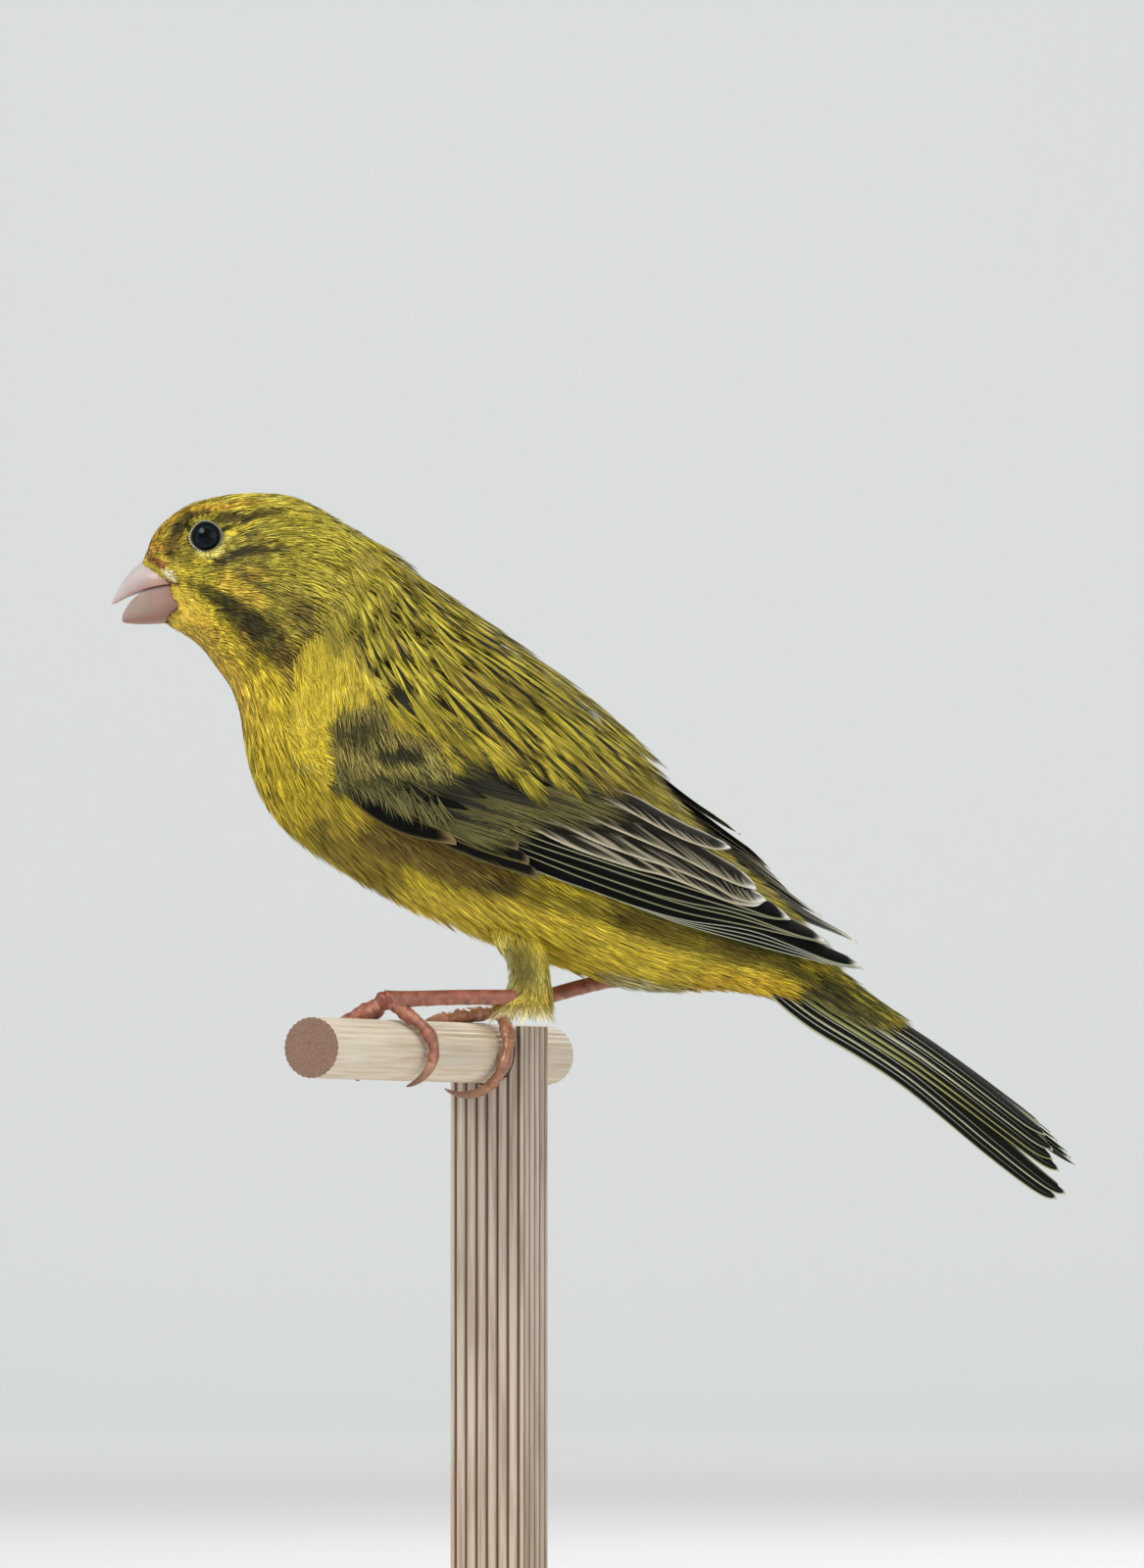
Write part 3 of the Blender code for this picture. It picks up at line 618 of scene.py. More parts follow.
def tufts(surface, a, b, shape, tint, seed, keep=None, rolled=True):
    """Feathers as fans of flat tapering barbs over a surface.

    Each feather starts at (a, b) and runs along +a, turned by its flow. Barb k of -1 to 1
    leaves the shaft early at the sides and late in the middle, and ends on a rounded tip
    outline. fan is the share of its distance from the shaft that it gains on the way, and
    fray how far its tip strays. Its height climbs from the skin to the coat's depth, lower
    at the sides.
    """
    rng = np.random.default_rng(seed)
    count, barbs, joints = len(a), shape["barbs"], shape.get("joints", 3)
    length = shape["length"] * rng.uniform(0.85, 1.12, count)
    width = shape["width"] * rng.uniform(0.9, 1.1, count)
    depth = shape["depth"] * rng.uniform(0.9, 1.06, count)
    lift = np.broadcast_to(shape.get("lift", 0.0), count)
    flow = shape.get("flow", 0.0) + rng.normal(0, shape["stray"], count)
    here, scale_a, scale_b = spans(surface, a, b, STEP)
    scale_a, scale_b = np.maximum(scale_a, 0.3), np.maximum(scale_b, 1.2)

    k = np.linspace(-1, 1, barbs)[None] + rng.uniform(-0.6, 0.6, (count, barbs)) / barbs
    near = np.clip(1 - np.abs(k), 0, 1)
    reach = length[:, None] * (0.7 + 0.3 * near**0.6) * rng.uniform(0.9, 1.06, (count, barbs))
    start = length[:, None] * (0.02 + shape.get("shaft", 0.42) * near)
    across = width[:, None] * np.sin(k * math.pi / 2)
    v = np.linspace(0, 1, joints + 1)[None, None]
    x = start[..., None] + (reach - start)[..., None] * v
    fan = shape.get("fan", 0.5)
    fray = width[:, None] * shape.get("fray", 0.14) * rng.normal(0, 1, (count, barbs))
    y = across[..., None] * (1 - fan + fan * v**1.3) + fray[..., None] * v**2
    power = np.broadcast_to(shape.get("rise", 0.75), count)[:, None, None]
    rise = np.clip(x / length[:, None, None], 0, 1.1) ** power
    camber = shape.get("camber", 0.25) * depth[:, None, None] * (k**2)[..., None] * v
    high = lift[:, None, None] + depth[:, None, None] * (0.05 + 0.95 * rise) - camber
    taper = shape["hair"] * BARB_TAPER[:joints] * rng.uniform(0.75, 1.25, (count, barbs, 1))
    twist = rng.uniform(-0.6, 0.6, (count, barbs, 1)) * taper
    cosine, sine = np.cos(flow)[:, None, None], np.sin(flow)[:, None, None]

    def place(px, py, ph):
        along = (px * cosine - py * sine) / scale_a[:, None, None]
        aside = (px * sine + py * cosine) / scale_b[:, None, None]
        return surface(a[:, None, None] + along, b[:, None, None] + aside, ph)

    low = place(x[..., :-1], y[..., :-1] - taper, high[..., :-1] - twist)
    top = place(x[..., :-1], y[..., :-1] + taper, high[..., :-1] + twist)
    tip = place(x[..., -1:], y[..., -1:], high[..., -1:])
    middle = place(x[..., -2:-1], y[..., -2:-1], high[..., -2:-1])[:, :, 0]
    along = np.append(np.repeat(np.linspace(0, 1, joints + 1)[:-1], 2), 1.0)
    sides = np.stack([low, top], axis=3).reshape(count, barbs, 2 * joints, 3)
    points = np.concatenate([sides, tip], axis=2)
    colours = tint(middle, k, along, rng)

    uv = tuft_map(a, b, k, along)
    ahead = np.broadcast_to((surface(a, b, 1.0) - here)[:, None, None], points.shape)
    if keep is not None:
        good = keep(points).all(axis=2)
        points, colours, uv, ahead = points[good], colours[good], uv[good], ahead[good]
    flat = points.reshape(-1, 3)
    faces = strip_faces(len(flat) // len(along), joints)
    faces = outward(flat, faces, ahead.reshape(-1, 3))
    if rolled:
        flat = roll(flat)
    return flat, faces, colours.reshape(-1, 3), uv.reshape(-1, 2)


def strands(k, rng, dark=0.4, low=0.3, high=1.3, clump=0.14):
    """Brightness of each barb: every other one mostly dark, the ones between them light, and
    each feather as a whole brighter or darker by clump."""
    order = (np.arange(k.shape[1])[None] + rng.integers(0, 2, (len(k), 1))) % 2
    pick = 0.5 * order + 0.5 * rng.random(k.shape)
    dim = low + (0.75 - low) * (pick / dark) ** 2
    bright = 0.85 + (high - 0.85) * (pick - dark) / (1 - dark)
    light = np.where(pick < dark, dim, bright)
    return light * rng.uniform(1 - clump, 1 + 0.8 * clump, (len(k), 1))


def plain_tint(
    streak_gain=1.0, root_shade=0.4, dark=0.4, low=0.3, high=1.3, stray=0.4, core=0.2, clump=0.2, pick=None
):
    """Colours for tufts: the marking near the barb, with painted shade at its root where other barbs cover
    it, and a dark middle.
    pick may change each barb's colour before the shade at its root."""

    def tint(middle, k, along, rng):
        size = k.shape
        shift = rng.normal(0, stray, (size[0], 1, 3)) + rng.normal(0, stray * 0.5, size + (3,))
        base = marking(middle + shift * np.array([1.2, 0.0, 0.7]))
        streak = rng.uniform(0.1, 1.0, (size[0], 1)) ** 0.5 * streaking(middle) * streak_gain
        base = blend(base, DARK * 0.45, streak * (1 - smooth(core * 0.7, core * 1.5, np.abs(k))))
        base = base * strands(k, rng, dark, low, high, clump)[..., None]
        if pick is not None:
            base = pick(base, middle, k, rng)
        # painted shade towards the root of each barb, where other barbs cover it
        shade = root_shade + (1 - root_shade) * smooth(-0.1, 0.7, along)
        return base[:, :, None] * shade[None, None, :, None]

    return tint


def eye_reach(points):
    """Distance from the middle of the eye in the side view."""
    return np.hypot(points[..., 0] - EYE[0], points[..., 2] - EYE[2])


def away_from_eyes(points):
    """False where a point would lie over the opening of an eye."""
    return (eye_reach(points) > EYE_OPENING + 0.3) | (np.abs(points[..., 1]) < 4.0)


def on_the_face(points):
    """True where a point keeps clear of both the eyes and the bill."""
    return away_from_eyes(points) & (face_gap(points)[0] > -0.25)


def on_body(x, z):
    """Body coordinates (s, theta) of the left side's points that show at x, z, found by
    stepping towards them."""
    s, theta = 0 * x + 2.0, 0 * x + 1.4
    for _ in range(70):
        here = body(s, theta)
        theta = np.clip(theta + np.clip((here[:, 2] - z) * 0.05, -0.08, 0.08), 0.02, 3.1)
        s = np.clip(s + np.clip((x - here[:, 0]) * 0.1, -0.1, 0.1), 0, 6)
    return s, theta


def lie(a, b, aim):
    """The flow that makes body feathers point along aim, x and z parts in the side view."""
    here = body(a, b)
    along, aside = body(a + STEP, b) - here, body(a, b + STEP) - here
    turn = along[:, 0] * aside[:, 2] - along[:, 2] * aside[:, 0]
    turn = np.where(np.abs(turn) < 1e-6, 1e-6, turn)
    p = (aim[:, 0] * aside[:, 2] - aim[:, 1] * aside[:, 0]) / turn
    q = (along[:, 0] * aim[:, 1] - along[:, 2] * aim[:, 0]) / turn
    return np.arctan2(q * np.linalg.norm(aside, axis=1), p * np.linalg.norm(along, axis=1))


def face_aim(x, z):
    """Face feathers spread backwards from the bill, part round the eye, and turn down behind
    the cheek. Also gives how near the eye is."""
    away = unit(np.stack([x + 62, 0.9 * (z - 139.0)], axis=1))
    down = smooth(-43, -30, x)[:, None]
    aim = away * (1 - down) + np.array([0.8, -0.6]) * down
    out = np.stack([x - EYE[0], z - EYE[2]], axis=1)
    near = 1 - smooth(2.2, 4.6, np.linalg.norm(out, axis=1))[:, None]
    out = unit(out)
    inwards = np.minimum((aim * out).sum(axis=1, keepdims=True) - 0.25, 0)
    return unit(aim - near * inwards * out), near[:, 0]


def face_lie(a, b):
    """The face's own lie, giving way to the body's course on crown, throat and neck."""
    place = body(a, b)
    x, z = place[:, 0], place[:, 2]
    aim, near = face_aim(x, z)
    share = smooth(147.6, 145.0, z) * smooth(126.0, 130.0, z)
    share = share * smooth(0.3, 0.6, np.abs(np.sin(b))) * smooth(-24, -36, x)
    return lie(a, b, aim) * np.maximum(share, near)


def eye_dome(sign):
    """Skin of the head or ball of the eye, whichever stands out further, by the distance from
    the eye's middle and the turn round it."""

    def surface(reach, turn, h=0.0):
        x, z = EYE[0] + reach * np.cos(turn), EYE[2] + reach * np.sin(turn)
        s, theta = on_body(x.ravel(), z.ravel())
        level = -body(s, theta)[:, 1].reshape(x.shape)
        ball = EYE[1] + np.sqrt(np.clip(EYE_RADIUS**2 - reach**2, 0, None))
        return np.stack([x, sign * (np.maximum(level, ball) + h), z], axis=-1)

    return surface


def body_roots(count, s_range, theta_range, density, seed):
    """Feather roots over part of the body, spread by area times density(s)."""
    u, v = even_points(count, seed)
    s = np.linspace(*s_range, 200)
    rows = spline(BODY, s)
    girth = np.hypot(rows[:, 0] - rows[:, 2], rows[:, 1] - rows[:, 3]) + 2 * rows[:, 4]
    middle = np.stack([(rows[:, 0] + rows[:, 2]) / 2, (rows[:, 1] + rows[:, 3]) / 2], axis=1)
    stride = np.linalg.norm(np.gradient(middle, s, axis=0), axis=1)
    weight = np.cumsum(girth * stride * density(s))
    s = np.interp(u, (weight - weight[0]) / (weight[-1] - weight[0]), s)
    low, high = np.radians(theta_range)
    return s, low + (high - low) * v


def wing_cover(points):
    """True where the folded wings hide unrolled body points."""
    offset = points - AXIS_START
    t, n = offset @ ALONG, offset @ DORSAL
    phi = np.degrees(np.arctan2(np.abs(points[..., 1]), n - keyed(FOLD, t)[..., 0]))
    upper = np.interp(t, [4, 10, 40, 60, 74], [66, 54, 28, 30, 38])
    lower = np.interp(t, [4, 10, 20, 30, 40, 50, 60, 70], [92, 101, 97, 90, 86, 74, 60, 44])
    return (t > 4) & (t < 72) & (phi > upper) & (phi < lower)


def add_coat(name, s_range, theta_range, count, shape, seed, tint, density=np.ones_like):
    """One piece of body coat, without the feathers that the folded wings would hide."""
    s, theta = body_roots(count, s_range, theta_range, density, seed)
    shown = ~wing_cover(body(s, theta))
    s, theta = s[shown], theta[shown]
    shape = {key: (value(s, theta) if callable(value) else value) for key, value in shape.items()}
    calm = smooth(1.6, 5.0, eye_reach(body(s, theta)))
    shape["depth"] = shape["depth"] * (0.3 + 0.7 * calm)
    shape["length"] = shape["length"] * (0.6 + 0.4 * calm)
    add_feathers(name, tufts(body, s, theta, shape, tint, seed, keep=on_the_face))


# ---------------- materials


def material(name):
    """A new node material, its tree and its shader."""
    made = bpy.data.materials.new(name)
    made.use_nodes = True
    shader = made.node_tree.nodes["Principled BSDF"]
    return made, made.node_tree, shader


def node(tree, kind, inputs=None, **settings):
    """A new node. Each input is a value to set or another node's output to link."""
    made = tree.nodes.new(kind)
    for key, value in settings.items():
        setattr(made, key, value)
    for key, value in (inputs or {}).items():
        if isinstance(value, bpy.types.NodeSocket):
            tree.links.new(value, made.inputs[key])
        else:
            made.inputs[key].default_value = value
    return made


def bump(tree, shader, height, strength, distance):
    """Gives the shader the relief of a height value."""
    made = node(tree, "ShaderNodeBump", {"Strength": strength, "Distance": distance, "Height": height})
    tree.links.new(made.outputs["Normal"], shader.inputs["Normal"])


def grain(tree, place, scale, detail=3.0, **more):
    """Noise of 0 to 1 at the place."""
    inputs = {"Vector": place, "Scale": scale, "Detail": detail, **more}
    return node(tree, "ShaderNodeTexNoise", inputs).outputs["Fac"]


def ranged(tree, value, start, end, low, high):
    """The value carried over from the span start to end to the span low to high."""
    inputs = {"Value": value, "From Min": start, "From Max": end, "To Min": low, "To Max": high}
    return node(tree, "ShaderNodeMapRange", inputs).outputs["Result"]


def mixed(tree, factor, one, other, mode="MIX"):
    """Two colours mixed by a factor."""
    inputs = {"Factor": factor, "A": one, "B": other}
    return node(tree, "ShaderNodeMix", inputs, data_type="RGBA", blend_type=mode).outputs["Result"]


def ramp(tree, value, low, dark, high, light):
    """Colour that runs from dark at low to light at high."""
    made = node(tree, "ShaderNodeValToRGB", {"Fac": value})
    for stop, at, tone in zip(made.color_ramp.elements, (low, high), (dark, light)):
        stop.position, stop.color = at, (*tone, 1)
    return made.outputs["Color"]


def translucent(rough, weight, radius, scale):
    """Shader sockets for skin or horn that light goes a little way into."""
    glow = {"Subsurface Weight": weight, "Subsurface Radius": radius, "Subsurface Scale": scale}
    return {"Roughness": rough, **glow}


def tinted(name, scale, low, high, sockets, detail=3.0):
    """A material in the mesh's own tint times a noise, with its shader's sockets set."""
    made, tree, shader = material(name)
    tint = node(tree, "ShaderNodeAttribute", attribute_name="tint").outputs["Color"]
    place = node(tree, "ShaderNodeTexCoord").outputs["Object"]
    speckle = ranged(tree, grain(tree, place, scale, detail), 0.3, 0.7, low, high)
    tree.links.new(mixed(tree, 1.0, tint, speckle, "MULTIPLY"), shader.inputs["Base Color"])
    for socket, value in sockets.items():
        shader.inputs[socket].default_value = value
    return made, tree, shader, place


def feather_material():
    """Barbs coloured by their own tint, faintly mottled and nearly matt."""
    found = bpy.data.materials.get("plumage")
    return found or tinted("plumage", 900.0, 0.88, 1.1, {"Roughness": 0.6, "Specular IOR Level": 0.18})[0]


def vane_material():
    """Flight feathers: tint, with fine oblique barbs as ridges along the weave map."""
    found = bpy.data.materials.get("flight_vane")
    if found:
        return found
    made, tree, shader = material("flight_vane")
    tint = node(tree, "ShaderNodeAttribute", attribute_name="tint").outputs["Color"]
    weave = node(tree, "ShaderNodeUVMap", uv_map="weave").outputs["UV"]
    bands = {"Vector": weave, "Scale": 1.0, "Distortion": 0.35, "Detail": 2.0, "Detail Scale": 0.6}
    ridges = node(tree, "ShaderNodeTexWave", bands, wave_type="BANDS", bands_direction="X").outputs["Fac"]
    colour = mixed(tree, 1.0, tint, ranged(tree, ridges, 0.0, 1.0, 0.78, 1.12), "MULTIPLY")
    tree.links.new(colour, shader.inputs["Base Color"])
    shader.inputs["Roughness"].default_value = 0.6
    shader.inputs["Specular IOR Level"].default_value = 0.05
    bump(tree, shader, ridges, 0.5, 0.00004)
    return made


# ---------------- skin


def eye_dip(points):
    """Skin points near an eye, drawn in towards the middle of the head to seat the ball."""
    inside = 1 - smooth(1.5, 3.2, eye_reach(points))
    moved = points.copy()
    moved[..., 1] -= np.sign(points[..., 1]) * 0.9 * inside * (np.abs(points[..., 1]) > 3.0)
    return moved


def skin_body():
    """Body skin: the body loft at no height, from the bill's base to the tail's root."""
    s, theta = np.meshgrid(np.linspace(0, len(BODY) - 1, 190), circle(128), indexing="ij")
    rings = eye_dip(body(s, theta))
    edge, _ = bill_edge(rings[..., 2])
    rings[..., 0] = np.where(s < 4, np.maximum(rings[..., 0], edge + 0.15), rings[..., 0])
    points, faces = closed_tube(rings)
    return roll(points), faces, marking(points) * 0.55


def skin_wing(side):
    """Arm of the folded wing: a closed plate under the coverts, tapering to its edges."""
    sign = 1 if side == "left" else -1
    t, share = np.meshgrid(np.linspace(2, 66, 60), np.linspace(0, 1, 20), indexing="ij")
    upper = np.interp(t, [2, 10, 40, 60, 74], [66, 50, 24, 27, 36])
    lower = np.interp(t, [2, 10, 20, 30, 40, 50, 60, 70], [94, 107, 102, 95, 90, 79, 65, 47])
    phi = np.radians(upper + (lower - upper) * (0.04 + 0.92 * share)) * sign
    edge = (np.sin(math.pi * np.clip(share, 0.0, 1)) ** 0.5) * smooth(2, 8, t) * (1 - smooth(58, 66, t))
    outer = fold(t, phi, -2.3 + 1.0 * edge)
    inner = fold(t, phi, -2.5 - 0.3 * edge)
    inside = fold(np.array([30.0]), np.array([sign * 1.1]), -3.0)[0]
    points, faces = outward_tube(np.concatenate([outer, inner[:, ::-1]], axis=1), inside)
    return roll(points), faces, np.broadcast_to(DARK * 0.5, points.shape)


def skin_thigh(side):
    """Thigh under its down: the thigh's surface drawn in, closed at both ends."""
    k, psi = np.meshgrid(np.linspace(0, 5, 40), circle(40), indexing="ij")
    rings = thigh(side)(k, psi, -0.9)
    points, faces = outward_tube(rings, rings.reshape(-1, 3).mean(axis=0))
    return points, faces, np.broadcast_to(GOLD * 0.6, points.shape)


def limb(path, radius):
    """A closed tube along a path, given the radius at each step and side. Its rings stand
    square to the path and start level with the dowel's side."""
    tangent = unit(np.gradient(path, axis=0))
    side = unit(np.cross(tangent, DOWEL_DIR))
    other = np.cross(tangent, side)
    turn = circle(radius.shape[1])[None, :, None]
    spokes = np.cos(turn) * side[:, None] + np.sin(turn) * other[:, None]
    return outward_tube(path[:, None] + radius[..., None] * spokes, path)


def toe_path(toe, ball):
    """From the ball of the foot along the dowel, through the toe's root, bend and tip."""
    share = np.linspace(0, 2, 160)
    place, degrees, slack = np.moveaxis(spline(toe[:3], share), -1, 0)
    thick = TOE_RADIUS[0] + (TOE_RADIUS[1] - TOE_RADIUS[0]) * share / 2
    path = on_dowel(place, degrees, DOWEL_RADIUS + 0.12 + thick + slack)
    into_ball = 1 - smooth(0, TOE_ROOT, share)[:, None]
    return path + (on_dowel(*ball) - path[0]) * into_ball


def resample(path, start, end, steps):
    """The stretch of a path between two shares of its length, at even steps."""
    length = np.concatenate([[0], np.cumsum(np.linalg.norm(np.diff(path, axis=0), axis=1))])
    at = np.linspace(start, end, steps) * length[-1]
    return np.stack([np.interp(at, length, path[:, i]) for i in range(3)], axis=1), length[-1]


SHANK_SIDES, TOE_SIDES = 24, 18


def skin_toe(toe, ball):
    """A toe: a tube whose radius swells at three joints and steps at each scute on top, with
    round pads between the joints below."""
    path, length = resample(toe_path(toe, ball), 0, 1 - toe[3] * 0.93, 90)
    share = np.linspace(0, 1, 90)[:, None]
    turn = circle(TOE_SIDES)[None]
    radius = TOE_RADIUS[0] + (TOE_RADIUS[1] - TOE_RADIUS[0]) * share
    joints = 1 + 0.13 * np.cos(share * 3 * 2 * math.pi + 0.5)
    flesh = length * (1 - toe[3])
    scute = (share * flesh / 0.95 + 0.2 * np.sin(5 * share)) % 1
    top = smooth(-0.2, 0.6, np.cos(turn))
    pads = (1 - top) * 0.06 * np.sin(share * flesh * 5.5 + 2 * turn)
    ridges = 1 + top * (0.045 * scute**2 - 0.012) + pads - 0.05 * np.cos(2 * turn)
    end = np.sqrt(np.clip(1 - ((share - 0.9) / 0.1).clip(0, 1) ** 2, 0.05, 1))
    return *limb(path, radius * joints * ridges * end), scute, top


def skin_tarsus(side):
    """The tarsus: a tube from heel to ball with long overlapping plates down its front."""
    heel, ball = np.asarray(HEELS[side]), on_dowel(*BALLS[side])
    share = np.linspace(0, 1, 80)[:, None]
    path = heel + (ball - heel) * share
    path = path + np.array([0, 0, 0.25]) * np.sin(share * math.pi)
    turn = circle(SHANK_SIDES)[None]
    swell = 1.04 * (1 + 0.3 * (2 * share - 1) ** 4) + 0.14 * (1 - smooth(0.0, 0.2, share))
    plate = (share * 8 + 0.06 * np.sin(3 * turn)) % 1
    front = smooth(-0.3, 0.5, np.cos(turn + 0.4))
    radius = swell * (1 + front * (0.06 * plate**3 - 0.015) - 0.08 * np.cos(2 * turn) ** 2)
    return *limb(path, radius), plate, front


def leg_colour(points, gap, top, base):
    """Scaly skin: paler plates with dark lines between them. The pale is partly the plates' own colour and
    partly painted highlight on the side that top marks, the toes' tops and the shank's front.
    """
    x, y, z = points.T
    patch = 0.5 + 0.5 * np.sin(2.3 * x + 1.7 * z) * np.sin(2.9 * y + 1.3 * x)
    # paler plates, with painted highlight over the side that top marks
    pale = blend(base, LEG_PALE_AND_HIGHLIGHT, (0.2 + 0.7 * patch) * top + 0.15)
    return blend(pale, LEG_DARK, (1 - smooth(0.0, 0.2, gap)) * 0.5 * top)


def padded(values, points, columns):
    """Repeats the first and last ring of per-point values for a closed tube's caps."""
    full = np.broadcast_to(values, (len(points) // columns - 2, columns))
    return np.concatenate([full[:1], full, full[-1:]]).ravel()


def leg_parts(side):
    """The shank, the lumpy ball of the foot and the four toes, each a closed shell."""
    base = LEG_RED if side == "left" else FOOT_TAN
    ball = on_dowel(*BALLS[side])
    turn, rise = np.meshgrid(circle(20), np.linspace(0.05, math.pi - 0.05, 16), indexing="xy")
    bulb = np.stack([np.cos(turn) * np.sin(rise), np.sin(turn) * np.sin(rise), np.cos(rise)], axis=-1)
    lumps = 1 + 0.07 * np.sin(4 * bulb[..., :1] + 5 * bulb[..., 2:])
    points, faces = outward_tube(ball + (1.4, 1.3, 1.15) * bulb * lumps, ball)
    foot = (points, faces, np.broadcast_to(base, points.shape))

    def scaled(points, faces, gap, top, sides, colour):
        gap, top = (padded(values, points, sides) for values in (gap, top))
        return points, faces, leg_colour(points, gap, top, colour)

    toes = [scaled(*skin_toe(toe, BALLS[side]), TOE_SIDES, base) for toe in TOES[side].values()]
    return [scaled(*skin_tarsus(side), SHANK_SIDES, LEG_RED), foot, *toes]


def skin_material():
    """Feathered skin in its plumage tint, mottled, with a soft bump."""
    made, tree, shader, place = tinted("feathered_skin", 1400.0, 0.7, 1.2, {"Roughness": 0.8})
    bump(tree, shader, grain(tree, place, 2500.0, 4.0), 0.6, 0.0001)
    return made


def leg_material():
    """Scaly leg skin: tint, fine creases and a slight waxy gloss."""
    waxy = translucent(0.3, 0.12, (0.6, 0.25, 0.15), 0.001)
    made, tree, shader, place = tinted("scaled_leg", 1100.0, 0.6, 1.3, waxy, 5.0)
    cells = node(tree, "ShaderNodeTexVoronoi", {"Vector": place, "Scale": 2600.0}, feature="DISTANCE_TO_EDGE")
    bump(tree, shader, cells.outputs["Distance"], 0.35, 0.00008)
    return made


def build_skin():
    """Every part of the skin as one piece: feathered parts first, then the bare legs."""
    parts = [skin_body(), skin_wing("left"), skin_wing("right"), skin_thigh("left"), skin_thigh("right")]
    feathered = sum(len(part[1]) for part in parts)
    points, faces, colours = merge(parts + leg_parts("left") + leg_parts("right"))
    skin = new_mesh("skin", points, faces, skin_material(), colours)
    skin.data.materials.append(leg_material())
    skin.data.polygons.foreach_set("material_index", (np.arange(len(faces)) >= feathered).astype(np.int32))
    flesh = ["head", "neck", "trunk", "wing_left", "wing_right"]
    flesh += [f"{part}_{side}" for part in ("thigh", "leg", "foot") for side in ("left", "right")]
    finish_piece(skin, "green_plumage", *flesh)


# ---------------- body coat


ALL_ROUND, BELOW = (-180, 180), (70, 290)


def coat_depth(s, theta):
    """Depth of the coat over the skin, from the body's stations."""
    return spline(BODY, s)[:, 5]


def build_head_coat(barbs):
    """The short, close feathers of face, head and neck, longer and wider further back."""
    fine = {"joints": 2, "hair": 0.05, "depth": coat_depth, "camber": 0.2, "shaft": 0.25, "stray": 0.08}
    fine |= {"rise": 0.5, "flow": face_lie}
    crisp = {"streak_gain": 2.5, "root_shade": 0.42, "dark": 0.44, "low": 0.12, "high": 1.5, "clump": 0.42}

    face = dict(fine, barbs=barbs - 2)
    face["length"] = lambda s, theta: 1.2 + 0.5 * s
    face["width"] = lambda s, theta: 0.26 + 0.07 * s
    tint = plain_tint(stray=0.12, **crisp)
    add_coat("coat_face", (0.02, 2.7), ALL_ROUND, 3000, face, 3, tint, lambda s: 1.9 - 0.42 * s)

    head = dict(fine, barbs=barbs, hair=0.064, width=0.5)
    head["length"] = lambda s, theta: 2.3 + 0.3 * s
    tint = plain_tint(stray=0.2, **crisp)
    add_coat("coat_head", (2.4, 5.3), ALL_ROUND, 2500, head, 5, tint, lambda s: 1.5 - 0.12 * s)

    neck = dict(fine, barbs=barbs + 1, hair=0.072, width=0.75)
    neck["length"] = lambda s, theta: 3.6 + 0.4 * (s - 5)
    add_coat("coat_neck", (5.0, 8.4), ALL_ROUND, 2300, neck, 7, plain_tint(**dict(crisp, clump=0.28)))
    build_bristles(barbs)


def eye_feathers(sign, barbs):
    """Tiny feathers round one eye, which part round it as the face's do."""
    u, v = even_points(460, 15)
    reach, turn = EYE_OPENING + 0.36 + 2.2 * u, 2 * math.pi * v
    cosine, sine = np.cos(turn), np.sin(turn)
    aim, _ = face_aim(EYE[0] + reach * cosine, EYE[2] + reach * sine)
    outwards = aim[:, 0] * cosine + aim[:, 1] * sine
    onwards = aim[:, 1] * cosine - aim[:, 0] * sine
    shape = {
        "barbs": barbs - 4,
        "joints": 2,
        "hair": 0.042,
        "length": 0.75 + 0.4 * u,
        "width": 0.2,
        "depth": 0.2 + 0.35 * u,
        "lift": 0.03,
        "rise": 0.5,
        "stray": 0.12,
        "flow": np.arctan2(onwards, outwards),
    }
    tint = plain_tint(0.0, 0.6, stray=0.05, clump=0.3)
    return tufts(eye_dome(sign), reach, turn, shape, tint, 67, keep=away_from_eyes)


def bill_feathers(sign, barbs):
    """Stiff feathers that lean forwards over one side of the bill's base, from the forehead
    down to the chin."""
    u, v = even_points(340, 9)
    z = 133.0 + 8.7 * u
    x = bill_edge(z)[0] + 0.1 + 1.1 * v
    s, theta = on_body(x, z)
    over, chin = smooth(137.9, 138.4, z), smooth(135.3, 134.6, z)
    fall = np.stack([-0.2 - 0.6 * over + 0.8 * chin, over * 0.4 - 0.95 + 0.2 * chin], axis=1)
    shape = {
        "barbs": barbs - 3,
        "joints": 2,
        "hair": 0.04,
        "length": 1.3 + 0.7 * over * smooth(141.0, 139.6, z),
        "width": 0.3,
        "depth": 0.45,
        "lift": 0.2,
        "rise": 0.5,
        "stray": 0.25,
        "flow": lie(s, theta * sign, fall),
    }
    return tufts(body, s, theta * sign, shape, plain_tint(0.0, 0.6, stray=0.05), 61)


def build_bristles(barbs):
    """The small feathers round both eyes and over the bill's base, as one piece."""
    parts = []
    for sign in (1, -1):
        parts += [eye_feathers(-sign, barbs), bill_feathers(sign, barbs)]
    add_feathers("coat_bristles", merge(parts))


def puff(s, theta):
    """How far the feathers below stand off: in a band along the left flank and under the vent."""
    flank = np.exp(-(((np.degrees(np.abs(theta)) - 112) / 14) ** 2)) * smooth(7.4, 8.6, s)
    from_keel = np.degrees(np.abs((theta % (2 * math.pi)) - math.pi))
    vent = np.exp(-(((s - 12.9) / 0.8) ** 2) - ((from_keel / 40) ** 2))
    return 1.1 * flank + 1.5 * vent


